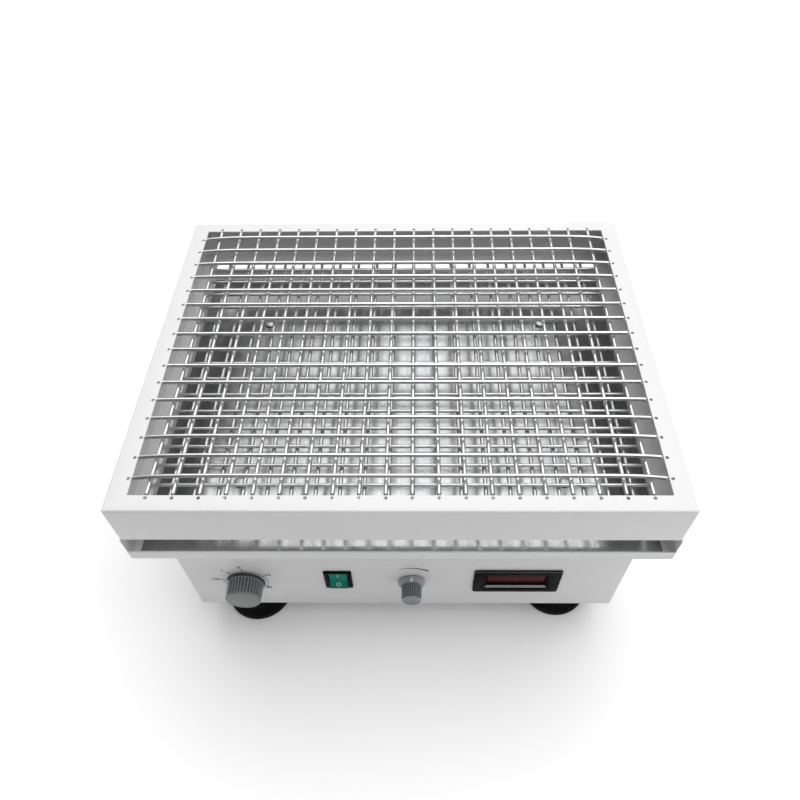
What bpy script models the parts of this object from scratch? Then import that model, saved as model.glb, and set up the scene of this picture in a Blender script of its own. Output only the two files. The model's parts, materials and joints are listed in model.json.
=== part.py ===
"""Orbital shaker with a spring-net platform, modelled as an assembly.

World frame: +X to the right of the control panel, +Y to the rear, +Z up.
The origin is on the bench, midway between the feet.
All driving dimensions below are in millimetres; the scene is in metres.
"""

import math

import bmesh
import bpy
from mathutils import Matrix, Vector

MM = 0.001
GAP = 0.35  # clearance left between pieces that touch

# ---- platform -------------------------------------------------------------
PITCH = 20.0                       # spacing of the springs, both ways
FRAME_X, FRAME_Y = 220.6, 179.8    # half sizes of the spring frame, outside
OPEN_X, OPEN_Y = 204.4, 165.0      # half sizes of its opening
FRAME_Z0, FRAME_Z1 = 194.4, 236.6
SHEET = 1.2                        # sheet steel of frame, pan and cabinet
PAN_X, PAN_Y = 221.3, 180.5
PAN_Z0, LIP_Z = 165.2, 176.6
FLOOR_X, FLOOR_Y, FLOOR_T = 214.0, 174.0, 1.0
SPRING_R = 1.8
SPRINGS_ACROSS, SPRINGS_ALONG = 20, 16
SPRING_REACH_X, SPRING_REACH_Y = 210.0, 170.6

# ---- orbit ----------------------------------------------------------------
ECC = 10.0                         # eccentricity: 20 mm orbit
PIN_Y = -3.5                       # tray pin at rest, crank turned to the front
CRANK = (0.0, PIN_Y + ECC)
IDLER_X, IDLER_Y0, IDLER_Y1 = 143.0, -106.0, 99.0   # tray corner pins at rest

# ---- cabinet --------------------------------------------------------------
CAB_X = 201.3                      # half width
CAB_CX = 1.7                       # middle of its width
CAB_Y0, CAB_Y1 = -160.0, 176.0
CAB_Z0, CAB_Z1 = 37.6, 151.6
FOOT_R, FOOT_H = 32.5, 39.6

# ---- panel ----------------------------------------------------------------
TIMER = (-146.1, 84.5)
ROCKER = (-59.5, 89.5)
SPEED = (8.3, 84.5)
METER = (105.5, 87.2)

for old in list(bpy.data.objects):
    bpy.data.objects.remove(old, do_unlink=True)

parts = bpy.data.collections.new("orbital_shaker")
cutters = bpy.data.collections.new("cutters")
bpy.context.scene.collection.children.link(parts)
bpy.context.scene.collection.children.link(cutters)
cutters.hide_render = True


def material(name, colour, roughness, metallic=0.0):
    found = bpy.data.materials.get(name)
    if found:
        return found
    made = bpy.data.materials.new(name)
    made.use_nodes = True
    shader = made.node_tree.nodes["Principled BSDF"]
    shader.inputs["Base Color"].default_value = (*colour, 1.0)
    shader.inputs["Roughness"].default_value = roughness
    shader.inputs["Metallic"].default_value = metallic
    made.diffuse_color = (*colour, 1.0)
    return made


WHITE = material("white_enamel", (0.86, 0.86, 0.86), 0.38)
STAINLESS = material("stainless", (0.62, 0.63, 0.64), 0.18, 1.0)
SPRING = material("spring_steel", (0.72, 0.72, 0.71), 0.28, 1.0)
STEEL = material("steel", (0.5, 0.5, 0.52), 0.35, 1.0)
IRON = material("cast_iron", (0.16, 0.17, 0.18), 0.6, 0.6)
ALU = material("aluminium", (0.74, 0.75, 0.76), 0.35, 1.0)
RUBBER = material("black_rubber", (0.02, 0.02, 0.02), 0.75)
GREY = material("grey_plastic", (0.33, 0.35, 0.36), 0.5)
BLACK = material("black_plastic", (0.02, 0.02, 0.022), 0.35)
GREEN = material("green_plastic", (0.02, 0.36, 0.27), 0.3)
RED = material("red_window", (0.10, 0.01, 0.012), 0.12)
BOARD = material("circuit_board", (0.02, 0.16, 0.07), 0.5)
BELT = material("belt_rubber", (0.03, 0.03, 0.03), 0.7)


def add(name, mesh, mat=None, cutter=False, at=(0, 0, 0)):
    obj = bpy.data.objects.new(name, mesh)
    (cutters if cutter else parts).objects.link(obj)
    obj.location = Vector(at) * MM
    if mat:
        mesh.materials.append(mat)
    if cutter:
        obj.hide_render = True
        obj.display_type = "WIRE"
    return obj


def origin_to(obj, at):
    """Moves the object's origin to a point in mm, leaving its shape where it is."""
    shift = Vector(at) * MM - obj.location
    obj.data.transform(Matrix.Translation(-shift))
    obj.location = Vector(at) * MM


def block(name, x, y, z, mat=None, cutter=False, bevel=0.0, edges="z"):
    """A box from ranges in mm, its edges along one axis bevelled if asked."""
    bm = bmesh.new()
    size = Vector((x[1] - x[0], y[1] - y[0], z[1] - z[0])) * MM
    mid = Vector((x[0] + x[1], y[0] + y[1], z[0] + z[1])) * MM / 2
    bmesh.ops.create_cube(
        bm, size=1.0, matrix=Matrix.Translation(mid) @ Matrix.Diagonal((*size, 1.0))
    )
    if bevel:
        k = "xyz".index(edges)
        picked = [
            e for e in bm.edges
            if abs((e.verts[0].co - e.verts[1].co).normalized()[k]) > 0.9
        ]
        bmesh.ops.bevel(
            bm, geom=picked, offset=bevel * MM, segments=3, affect="EDGES", profile=0.5
        )
    mesh = bpy.data.meshes.new(name)
    bm.to_mesh(mesh)
    bm.free()
    return add(name, mesh, mat, cutter)


def smooth(obj, angle=35):
    obj.data.shade_smooth()
    obj.data.set_sharp_from_angle(angle=math.radians(angle))


TURN = {
    "z": Matrix.Identity(4),
    "y": Matrix.Rotation(math.radians(90), 4, "X"),    # local +Z becomes -Y
    "x": Matrix.Rotation(math.radians(90), 4, "Y"),    # local +Z becomes +X
}


def rod(name, at, radius, low, high, mat=None, cutter=False, axis="z", sides=24):
    """A cylinder between two stations along its axis, from a point (mm).

    For axis y, low and high are y values; for z, z values; for x, x values.
    """
    bm = bmesh.new()
    k = "xyz".index(axis)
    mid = list(at)
    mid[k] = (low + high) / 2
    bmesh.ops.create_cone(
        bm, cap_ends=True, segments=sides, radius1=radius * MM, radius2=radius * MM,
        depth=(high - low) * MM,
        matrix=Matrix.Translation(Vector(mid) * MM) @ TURN[axis],
    )
    mesh = bpy.data.meshes.new(name)
    bm.to_mesh(mesh)
    bm.free()
    obj = add(name, mesh, mat, cutter)
    smooth(obj)
    return obj


def turned(name, at, profile, mat, sides=24, axis="z", closed=False):
    """A Screw about an axis through `at`. The profile runs down its outer side."""
    mesh = bpy.data.meshes.new(name)
    points = [(r * MM, 0.0, h * MM) for r, h in profile]
    ends = [(i, i + 1) for i in range(len(points) - 1)]
    if closed:
        ends.append((len(points) - 1, 0))
    mesh.from_pydata(points, ends, [])
    obj = add(name, mesh, mat, at=at)
    if axis != "z":
        obj.rotation_euler = TURN[axis].to_euler()
    screw = obj.modifiers.new("Turn", "SCREW")
    screw.axis = "Z"
    screw.angle = math.tau
    screw.steps = screw.render_steps = sides
    screw.use_merge_vertices = True
    screw.merge_threshold = 0.00005
    screw.use_smooth_shade = True
    return obj


def boolean(obj, other, operation="DIFFERENCE"):
    mod = obj.modifiers.new(operation.title(), "BOOLEAN")
    mod.operation = operation
    mod.solver = "EXACT"
    mod.object = other
    return obj


def cut(obj, *others):
    for other in others:
        boolean(obj, other)
    return obj


def merged(name, pieces, mat):
    """Joins overlapping pieces into the first by Boolean unions."""
    first = pieces[0]
    for other in pieces[1:]:
        other.name = name + "_add"
        parts.objects.unlink(other)
        cutters.objects.link(other)
        other.hide_render = True
        other.display_type = "WIRE"
        boolean(first, other, "UNION")
    first.name = name
    return first


# ============================ platform =====================================
frame = block("tray_frame", (-FRAME_X, FRAME_X), (-FRAME_Y, FRAME_Y),
              (FRAME_Z0, FRAME_Z1), WHITE)
cut(
    frame,
    block("cut_channel", (-FRAME_X + SHEET, FRAME_X - SHEET),
          (-FRAME_Y + SHEET, FRAME_Y - SHEET),
          (FRAME_Z0 + SHEET, FRAME_Z1 - SHEET), cutter=True),
    block("cut_opening", (-OPEN_X, OPEN_X), (-OPEN_Y, OPEN_Y),
          (FRAME_Z0 - 5, FRAME_Z1 + 5), cutter=True),
)

# The pan: folded sheet, tall at the sides where it carries the frame, and a
# low lip at front and rear, so that both ends stay open as slots.
pan = block("tray_pan", (-PAN_X, PAN_X), (-PAN_Y, PAN_Y),
            (PAN_Z0, FRAME_Z0 - GAP), WHITE)
cut(
    pan,
    block("cut_pan", (-PAN_X + SHEET, PAN_X - SHEET), (-PAN_Y + SHEET, PAN_Y - SHEET),
          (PAN_Z0 + SHEET, FRAME_Z0 + 5), cutter=True),
    block("cut_pan_slots", (-PAN_X + SHEET, PAN_X - SHEET), (-PAN_Y - 5, PAN_Y + 5),
          (LIP_Z, FRAME_Z0 + 5), cutter=True),
)
FLOOR_Z0 = PAN_Z0 + SHEET + GAP
FLOOR_Z1 = FLOOR_Z0 + FLOOR_T
floor = block("floor_plate", (-FLOOR_X, FLOOR_X), (-FLOOR_Y, FLOOR_Y),
              (FLOOR_Z0, FLOOR_Z1), STAINLESS)

corners = {
    "front_left": (-IDLER_X, IDLER_Y0),
    "front_right": (IDLER_X, IDLER_Y0),
    "rear_left": (-IDLER_X, IDLER_Y1),
    "rear_right": (IDLER_X, IDLER_Y1),
}
for where, (x, y) in corners.items():
    hole = rod("cut_floor_" + where, (x, y, 0), 2.8, PAN_Z0 - 4, FLOOR_Z1 + 4,
               cutter=True, sides=16)
    boolean(pan, hole)
    boolean(floor, hole)
    # Pan-head screw down through floor and pan into the corner bearing.
    screw = turned(
        "floor_screw_" + where, (x, y, 0),
        [(0, FLOOR_Z1 + 3.0), (3.2, FLOOR_Z1 + 2.7), (5.2, FLOOR_Z1 + 1.2),
         (5.2, FLOOR_Z1 + GAP), (2.3, FLOOR_Z1 + GAP), (2.3, 161.4), (0, 161.4)],
        STEEL, sides=16,
    )
    bearing = turned(
        "corner_bearing_" + where, (x, y, 0),
        [(0, PAN_Z0 - GAP), (19, PAN_Z0 - GAP), (19, 161.0), (9, 160.6), (9, 148.0),
         (4.4, 148.0), (4.4, 158.4), (0, 158.4)],
        ALU, sides=24,
    )
    boolean(bearing, rod("cut_thread_" + where, (x, y, 0), 2.8, 160.9, 170,
                         cutter=True, sides=16))

hub = turned(
    "tray_hub", (0, PIN_Y, 0),
    [(0, PAN_Z0 - GAP), (34, PAN_Z0 - GAP), (34, 160.2), (15, 159.4), (15, 144.0),
     (6.6, 144.0), (6.6, 158.6), (0, 158.6)],
    ALU, sides=32,
)


def bars(name, centres, half, radius, along, heights, cutter=False, mat=None):
    """A row of round bars that don't touch, as six-sided prisms."""
    bm = bmesh.new()
    for centre, height in zip(centres, heights):
        if along == "x":
            spot, turn = (0, centre, height), TURN["x"] @ Matrix.Rotation(math.pi / 6, 4, "Z")
        else:
            spot, turn = (centre, 0, height), TURN["y"]
        bmesh.ops.create_cone(
            bm, cap_ends=True, segments=6, radius1=radius * MM, radius2=radius * MM,
            depth=2 * half * MM, matrix=Matrix.Translation(Vector(spot) * MM) @ turn,
        )
    mesh = bpy.data.meshes.new(name)
    bm.to_mesh(mesh)
    bm.free()
    return add(name, mesh, mat, cutter)


def spring_net(name, z_along, z_across, reach_across, reach_along, rise=None, tie=None):
    """Springs run front to back under springs that run left to right.

    One spring each way sits between the two layers, which ties the whole net
    into one solid; the other crossings keep a clearance. rise(y) lifts each
    left to right spring, and tie is the height of the tying bar that runs
    front to back.
    """
    xs = [(i - (SPRINGS_ACROSS - 1) / 2) * PITCH for i in range(SPRINGS_ACROSS)]
    ys = [(i - (SPRINGS_ALONG - 1) / 2) * PITCH for i in range(SPRINGS_ALONG)]
    lift = rise or (lambda y: 0.0)
    heights_along = [z_along for x in xs if x != PITCH / 2]
    heights_across = [z_across - 1.2 if y == -PITCH / 2 else z_across + lift(y)
                      for y in ys]
    across = bars(name, ys, reach_across, SPRING_R, "x", heights_across, mat=SPRING)
    along = bars(name + "_along", [x for x in xs if x != PITCH / 2], reach_along,
                 SPRING_R, "y", heights_along, cutter=True)
    tying = bars(name + "_tie", [PITCH / 2], 160.0,
                 SPRING_R, "y", [z_along + 2.6 if tie is None else tie], cutter=True)
    boolean(across, along, "UNION")
    boolean(across, tying, "UNION")
    return across


def crown(y):
    """Left to right springs ride up over the others towards both ends."""
    front, rear = max(0.0, -y - 40.0) / 110.0, max(0.0, y - 50.0) / 100.0
    return 3.9 * front ** 1.3 + 2.9 * rear ** 1.2


# The upper net's left to right springs lie level with the rim and above it. The
# lower net's front to back springs lie level with the lower flange.
UPPER_ACROSS = FRAME_Z1 + 0.3
UPPER_ALONG = FRAME_Z1 - SHEET - 0.4 - SPRING_R
LOWER_ALONG = FRAME_Z0 + 0.9
LOWER_ACROSS = LOWER_ALONG + 3.8
spring_net("upper_spring_net", UPPER_ALONG, UPPER_ACROSS, OPEN_X - 0.5, SPRING_REACH_Y,
           crown, FRAME_Z1 + 1.3)
spring_net("lower_spring_net", LOWER_ALONG, LOWER_ACROSS, SPRING_REACH_X, OPEN_Y - 0.5)

# ============================ drive ========================================
DECK_T = SHEET
PLATE_Z0, PLATE_Z1 = 100.0, 105.0          # drive plate inside the cabinet
plate = block("drive_plate", (-172, 172), (-116, 146), (PLATE_Z0, PLATE_Z1), STEEL)

cx, cy = CRANK
boolean(plate, rod("cut_plate_main", (cx, cy, 0), 16.0, 90, 120, cutter=True))
main_housing = turned(
    "main_bearing_housing", (cx, cy, 0),
    [(30, PLATE_Z0 - GAP), (30, 92), (22, 90), (22, 58), (8.5, 58),
     (8.5, PLATE_Z0 - GAP)],
    IRON, sides=28, closed=True,
)
# Crank: vertical shaft, round web and eccentric pin, one turned-and-joined piece.
crank = turned(
    "main_crank", (cx, cy, 0),
    [(0, 135.0), (24, 135.0), (24, 125.0), (8, 124.0), (8, 60.0), (0, 60.0)],
    STEEL, sides=28,
)
pin = rod("crank_pin", (0, PIN_Y, 0), 6.0, 130.0, 157.4, cutter=True, sides=20)
boolean(crank, pin, "UNION")
# The pulley is clamped on the shaft above the drive plate.
pulley = turned(
    "main_pulley", (cx, cy, 0),
    [(55, 120.0), (55, 118.4), (52.6, 116.8), (52.6, 111.2), (55, 109.6), (55, 108.0),
     (8 + GAP, 108.0), (8 + GAP, 120.0)],
    ALU, sides=36, closed=True,
)
# Counterweight: a half disc on the web, on the side away from the pin.
weight = turned(
    "counterweight", (cx, cy, 0),
    [(62, 134.4), (62, 124.6), (24 + GAP, 124.6), (24 + GAP, 134.4)],
    IRON, sides=36, closed=True,
)
boolean(weight, block("cut_weight", (-80, 80), (cy - 90, cy + 6), (110, 150),
                      cutter=True))

for where, (x, y) in corners.items():
    turned(
        "idler_housing_" + where, (x, y + ECC, 0),
        [(12, 136.0), (12, 109.0), (18, 108.0), (18, PLATE_Z1 + GAP),
         (5.5, PLATE_Z1 + GAP), (5.5, 136.0)],
        IRON, sides=20, closed=True,
    )
    idler = turned(
        "idler_crank_" + where, (x, y + ECC, 0),
        [(0, 142.6), (16.5, 142.6), (16.5, 136.8), (5, 136.4), (5, 107.0), (0, 107.0)],
        STEEL, sides=20,
    )
    boolean(idler, rod("idler_pin_" + where, (x, y, 0), 4.0, 139.0, 157.6,
                       cutter=True, sides=16), "UNION")

# Motor hung under the drive plate, shaft up, with its pulley and the belt.
MX, MY = -96.0, 74.0
motor = turned(
    "motor", (MX, MY, 0),
    [(0, 99.0), (10, 99.0), (10, 97.5), (39, 97.5), (39, 50.0), (0, 50.0)],
    IRON, sides=28,
)
boolean(plate, rod("cut_plate_motor", (MX, MY, 0), 13.0, 90, 120, cutter=True))
boolean(motor, rod("cut_motor_bore", (MX, MY, 0), 4.5, 80, 120, cutter=True))
rod("motor_shaft", (MX, MY, 0), 4.0, 81.0, 121.0, STEEL, sides=16)
turned(
    "motor_pulley", (MX, MY, 0),
    [(16, 120.0), (16, 118.4), (13.6, 116.8), (13.6, 111.2), (16, 109.6), (16, 108.0),
     (4 + GAP, 108.0), (4 + GAP, 120.0)],
    ALU, sides=20, closed=True,
)


def belt_path(r1, c1, r2, c2, steps=18):
    """Outline of an open belt round two pulleys of radius r1 and r2."""
    d = Vector(c2) - Vector(c1)
    heading = math.atan2(d.y, d.x)
    tilt = math.acos((r1 - r2) / d.length)
    points = []
    for k in range(steps + 1):
        a = heading + tilt + (math.tau - 2 * tilt) * k / steps
        points.append((c1[0] + r1 * math.cos(a), c1[1] + r1 * math.sin(a)))
    for k in range(steps + 1):
        a = heading - tilt + 2 * tilt * k / steps
        points.append((c2[0] + r2 * math.cos(a), c2[1] + r2 * math.sin(a)))
    return points


curve = bpy.data.curves.new("drive_belt", "CURVE")
curve.dimensions = "2D"
curve.fill_mode = "BOTH"
curve.extrude = 2.4 * MM
for extra in (0.6, 2.4):
    spline = curve.splines.new("POLY")
    outline = belt_path(52.6 + extra, (cx, cy), 13.6 + extra, (MX, MY))
    spline.points.add(len(outline) - 1)
    for point, (u, v) in zip(spline.points, outline):
        point.co = (u * MM, v * MM, 0.0, 1.0)
    spline.use_cyclic_u = True
belt = bpy.data.objects.new("drive_belt", curve)
parts.objects.link(belt)
belt.location = (0, 0, 114.0 * MM)
curve.materials.append(BELT)

# ============================ cabinet ======================================
shell = block("cabinet_shell", (CAB_CX - CAB_X, CAB_CX + CAB_X), (CAB_Y0, CAB_Y1), (CAB_Z0, CAB_Z1),
              WHITE)
cut(shell, block("cut_shell", (CAB_CX - CAB_X + SHEET, CAB_CX + CAB_X - SHEET),
                 (CAB_Y0 + SHEET, CAB_Y1 - SHEET), (CAB_Z0 - 5, CAB_Z1 - SHEET),
                 cutter=True))
boolean(shell, rod("cut_deck_hub", (cx, cy, 0), 28.5, 145, 160, cutter=True, sides=32))
for where, (x, y) in corners.items():
    boolean(shell, rod("cut_deck_" + where, (x, y + ECC, 0), 22.5, 145, 160,
                       cutter=True, sides=28))

# Base plate: folded sheet with two upturned sides that the shell screws to.
BASE_Z0 = 40.0
IN_X = CAB_X - SHEET - GAP
IN_Y0, IN_Y1 = CAB_Y0 + SHEET + GAP, CAB_Y1 - SHEET - GAP
base = block("base_plate", (CAB_CX - IN_X, CAB_CX + IN_X), (IN_Y0, IN_Y1),
             (BASE_Z0, BASE_Z0 + 22), STEEL)
cut(base, block("cut_base", (CAB_CX - IN_X + 2, CAB_CX + IN_X - 2), (IN_Y0 - 5, IN_Y1 + 5),
                (BASE_Z0 + 2.5, BASE_Z0 + 40), cutter=True))
BASE_Z1 = BASE_Z0 + 2.5

for side, sx in (("left", -1), ("right", 1)):
    for end, y in (("front", -110.0), ("rear", 126.0)):
        hole = rod("cut_side_%s_%s" % (side, end), (0, y, 54.0), 2.0,
                   min(sx * 190, sx * 210), max(sx * 190, sx * 210), cutter=True,
                   axis="x", sides=12)
        boolean(shell, hole)
        boolean(base, hole)
        # Head outside the shell, shank through shell and base plate.
        out = CAB_X + GAP
        screw = turned(
            "shell_screw_%s_%s" % (side, end), (CAB_CX, y, 54.0),
            [(0, out + 1.9), (2.6, out + 1.7), (3.9, out + 0.7), (3.9, out),
             (1.6, out), (1.6, CAB_X - 6.0), (0, CAB_X - 6.0)],
            STEEL, sides=12,
        )
        screw.rotation_euler = (0, sx * math.pi / 2, 0)

# Pillars between base plate and drive plate.
for k, (x, y) in enumerate(((-164, -60), (164, -60), (-164, 92), (164, 92))):
    rod("pillar_%d" % (k + 1), (x, y, 0), 6.5, BASE_Z1 + GAP, PLATE_Z0 - GAP, ALU,
        sides=6)

feet = {
    "front_left": (-151.5, -130.0),
    "front_right": (156.4, -124.5),
    "rear_left": (-153.5, 143.0),
    "rear_right": (156.4, 143.0),
}
for where, (x, y) in feet.items():
    # Rubber foot: wide lip on the bench, waisted body, recessed screw.
    turned(
        "foot_" + where, (x, y, 0),
        [(24.0, FOOT_H), (26.5, 34.0), (27.5, 20.0), (31.0, 13.0), (FOOT_R, 8.0),
         (FOOT_R, 3.0), (30.5, 0.0), (12.0, 0.0), (9.0, 3.0), (9.0, 18.0), (4.2, 18.0),
         (4.2, FOOT_H)],
        RUBBER, sides=28, closed=True,
    )
    boolean(base, rod("cut_foot_" + where, (x, y, 0), 4.2, 30, 60, cutter=True,
                      sides=16))
    turned(
        "foot_screw_" + where, (x, y, 0),
        [(0, 52.0), (3.8, 52.0), (3.8, 17.6), (7.0, 17.6), (7.0, 11.0), (0, 11.0)],
        STEEL, sides=16,
    )

# ============================ panel ========================================
FACE = CAB_Y0                       # y of the panel's outer face
BACK = FACE + SHEET                 # y of its inner face
tx, tz = TIMER
boolean(shell, rod("cut_timer", (tx, 0, tz), 5.0, FACE - 5, BACK + 5, cutter=True,
                   axis="y", sides=20))
timer_body = rod("timer_body", (tx, 0, tz), 24.0, BACK + GAP, FACE + 38.0, BLACK,
                 axis="y", sides=24)
boolean(timer_body, rod("cut_timer_bore", (tx, 0, tz), 3.4, FACE - 5, FACE + 14,
                        cutter=True, axis="y", sides=16))
# Height along local +Z is measured outwards from the panel face.
turned(
    "timer_knob", (tx, FACE, tz),
    [(0, 20.1), (15.2, 20.1), (16.0, 19.3), (16.5, 1.8), (17.7, 1.6), (17.7, 0.5),
     (3.0, 0.5), (3.0, -12.0), (0, -12.0)],
    GREY, sides=32, axis="y",
)

rx, rz = ROCKER
boolean(shell, block("cut_rocker", (rx - 11, rx + 11), (FACE - 5, BACK + 5),
                     (rz - 14.2, rz + 14.2), cutter=True))
bezel = block("rocker_housing", (rx - 12.75, rx + 12.75), (FACE - 2.0, FACE - 0.3),
              (rz - 15.5, rz + 15.5), BLACK, bevel=1.2, edges="y")
body = block("rocker_body", (rx - 10.6, rx + 10.6), (FACE - 1.0, FACE + 24.0),
             (rz - 13.8, rz + 13.8))
merged("rocker_housing", [bezel, body], BLACK)
boolean(bezel, block("cut_rocker_well", (rx - 8.9, rx + 8.9), (FACE - 10, FACE + 12.0),
                     (rz - 12.9, rz + 12.9), cutter=True))

# Rocker: a valley of two flats, rocked so that its upper half is pressed in.
ROCK = math.radians(9.0)
button = bpy.data.curves.new("rocker_profile", "CURVE")
button.dimensions = "2D"
button.fill_mode = "BOTH"
button.extrude = 8.4 * MM
spline = button.splines.new("POLY")
profile = [(-12.0, 4.4), (0.0, 2.5), (12.0, 4.4), (12.0, 1.6), (5.0, -5.0), (-5.0, -5.0),
           (-12.0, 1.6)]
spline.points.add(len(profile) - 1)
for point, (h, out) in zip(spline.points, profile):
    point.co = (h * MM, out * MM, 0.0, 1.0)
spline.use_cyclic_u = True
guide = bpy.data.objects.new("rocker_guide", button)
cutters.objects.link(guide)
bpy.context.view_layer.update()
solid = bpy.data.meshes.new_from_object(
    guide.evaluated_get(bpy.context.evaluated_depsgraph_get()))
bpy.data.objects.remove(guide)
bm = bmesh.new()
bm.from_mesh(solid)
bmesh.ops.remove_doubles(bm, verts=bm.verts, dist=1e-6)
bmesh.ops.recalc_face_normals(bm, faces=bm.faces)
# Profile x is height, y is the way out of the panel, depth is along X.
bm.transform(Matrix(((0, 0, 1, 0), (0, -1, 0, 0), (1, 0, 0, 0), (0, 0, 0, 1))))
bmesh.ops.recalc_face_normals(bm, faces=bm.faces)
bm.transform(Matrix.Rotation(-ROCK, 4, "X"))
bm.to_mesh(solid)
bm.free()
solid.materials.clear()
rocker = add("rocker_button", solid, GREEN, at=(rx, FACE + 1.6, rz))

sx, sz = SPEED
boolean(shell, rod("cut_speed", (sx, 0, sz), 3.9, FACE - 5, BACK + 5, cutter=True,
                   axis="y", sides=16))
pot = rod("potentiometer", (sx, 0, sz), 8.5, BACK + GAP, FACE + 13.0, STEEL, axis="y",
          sides=20)
boolean(pot, rod("cut_pot_bore", (sx, 0, sz), 3.4, FACE - 5, FACE + 9.0, cutter=True,
                 axis="y", sides=16))
turned(
    "speed_knob", (sx, FACE, sz),
    [(0, 20.3), (8.2, 20.3), (9.0, 19.5), (9.6, 5.2), (11.2, 4.4), (12.8, 2.4),
     (12.8, 0.5), (3.0, 0.5), (3.0, -7.5), (0, -7.5)],
    GREY, sides=28, axis="y",
)

mx, mz = METER
boolean(shell, block("cut_meter", (mx - 37.5, mx + 37.5), (FACE - 5, BACK + 5),
                     (mz - 17.6, mz + 17.6), cutter=True))
meter = block("meter_bezel", (mx - 40.0, mx + 40.0), (FACE - 2.3, FACE - 0.3),
              (mz - 20.0, mz + 20.0), BLACK, bevel=2.4, edges="y")
meter_case = block("meter_case", (mx - 37.0, mx + 37.0), (FACE - 1.2, FACE + 38.0),
                   (mz - 17.2, mz + 17.2))
merged("meter_bezel", [meter, meter_case], BLACK)
# Sloped surround down to the window: a four-sided cone, its sides unlike in X and Z.
bm = bmesh.new()
bmesh.ops.create_cube(bm, size=1.0)
for v in bm.verts:
    outer = v.co.y < 0
    half_x = 31.5 if outer else 27.2
    half_z = 14.6 if outer else 9.8
    v.co = Vector((mx + (half_x if v.co.x > 0 else -half_x),
                   FACE - 3.3 if outer else FACE + 1.2,
                   mz + (half_z if v.co.z > 0 else -half_z))) * MM
mesh = bpy.data.meshes.new("cut_surround")
bm.to_mesh(mesh)
bm.free()
boolean(meter, add("cut_surround", mesh, cutter=True))
boolean(meter, block("cut_window_seat", (mx - 27.2, mx + 27.2),
                     (FACE + 0.6, FACE + 4.2), (mz - 9.8, mz + 9.8), cutter=True))
block("meter_window", (mx - 26.8, mx + 26.8), (FACE + 1.6, FACE + 3.4),
      (mz - 9.4, mz + 9.4), RED)

# Speed control board on four moulded legs on the base plate.
board = block("control_board", (28, 118), (-84, -24), (54.0, 55.8), BOARD)
legs = [block("leg_%d" % k, (x - 3, x + 3), (y - 3, y + 3), (BASE_Z1 + GAP, 54.9))
        for k, (x, y) in enumerate(((34, -78), (112, -78), (34, -30), (112, -30)))]
sink = block("heat_sink", (40, 74), (-72, -56), (55.0, 78.0))
caps = block("capacitor", (84, 106), (-66, -44), (55.0, 72.0))
merged("control_board", [board, *legs, sink, caps], BOARD)

# Rear: mains inlet and fuse holder.
REAR = CAB_Y1
boolean(shell, block("cut_inlet", (-134, -106), (REAR - 8, REAR + 8), (61, 83),
                     cutter=True))
inlet = block("power_inlet", (-144, -96), (REAR + 0.3, REAR + 2.6), (58, 86), BLACK,
              bevel=2.5, edges="y")
inlet_case = block("inlet_case", (-133.5, -106.5), (REAR - 26.0, REAR + 1.2),
                   (61.5, 82.5))
merged("power_inlet", [inlet, inlet_case], BLACK)
boolean(inlet, block("cut_socket", (-131, -109), (REAR - 16.0, REAR + 8), (64, 80),
                     cutter=True))
boolean(shell, rod("cut_fuse", (-70, 0, 72), 6.4, REAR - 8, REAR + 8, cutter=True,
                   axis="y", sides=20))
fuse = rod("fuse_holder", (-70, 0, 72), 8.0, REAR + 0.3, REAR + 4.2, BLACK, axis="y",
           sides=20)
fuse_tube = rod("fuse_tube", (-70, 0, 72), 6.0, REAR - 28.0, REAR + 2.0, axis="y",
                sides=20)
merged("fuse_holder", [fuse, fuse_tube], BLACK)
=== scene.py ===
import json
import math

import bmesh
import bpy
import numpy as np
from mathutils import Matrix, Vector

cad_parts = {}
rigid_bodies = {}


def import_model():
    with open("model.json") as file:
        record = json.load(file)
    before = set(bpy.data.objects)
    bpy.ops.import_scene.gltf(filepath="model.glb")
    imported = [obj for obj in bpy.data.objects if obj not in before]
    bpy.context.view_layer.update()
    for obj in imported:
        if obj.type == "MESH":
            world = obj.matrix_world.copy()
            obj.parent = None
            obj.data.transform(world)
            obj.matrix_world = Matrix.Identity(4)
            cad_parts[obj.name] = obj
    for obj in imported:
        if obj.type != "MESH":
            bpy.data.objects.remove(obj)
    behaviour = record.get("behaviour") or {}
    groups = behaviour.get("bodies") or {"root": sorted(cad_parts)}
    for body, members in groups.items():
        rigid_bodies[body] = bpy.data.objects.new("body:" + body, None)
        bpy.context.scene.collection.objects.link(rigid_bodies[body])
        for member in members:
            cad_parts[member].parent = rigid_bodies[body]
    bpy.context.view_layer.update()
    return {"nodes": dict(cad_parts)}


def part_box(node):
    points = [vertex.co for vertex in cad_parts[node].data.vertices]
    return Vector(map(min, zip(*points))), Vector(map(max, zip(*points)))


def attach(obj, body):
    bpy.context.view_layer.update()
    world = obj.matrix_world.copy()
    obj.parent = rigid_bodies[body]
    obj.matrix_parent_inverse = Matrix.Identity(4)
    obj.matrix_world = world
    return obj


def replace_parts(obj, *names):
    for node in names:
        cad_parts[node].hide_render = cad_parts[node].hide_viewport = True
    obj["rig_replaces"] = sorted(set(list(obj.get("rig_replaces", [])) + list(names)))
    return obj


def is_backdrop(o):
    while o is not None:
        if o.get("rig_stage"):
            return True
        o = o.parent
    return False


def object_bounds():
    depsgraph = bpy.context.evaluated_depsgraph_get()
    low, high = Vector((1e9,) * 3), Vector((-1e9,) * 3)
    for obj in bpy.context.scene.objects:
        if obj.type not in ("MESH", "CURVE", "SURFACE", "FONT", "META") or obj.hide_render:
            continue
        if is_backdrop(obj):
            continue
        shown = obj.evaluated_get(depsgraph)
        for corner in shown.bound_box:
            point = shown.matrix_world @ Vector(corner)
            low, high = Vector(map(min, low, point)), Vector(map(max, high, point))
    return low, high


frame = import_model()
MM = 0.001
NODES = frame["nodes"]


def mid(node):
    lo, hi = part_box(node)
    return (lo + hi) / 2


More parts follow.
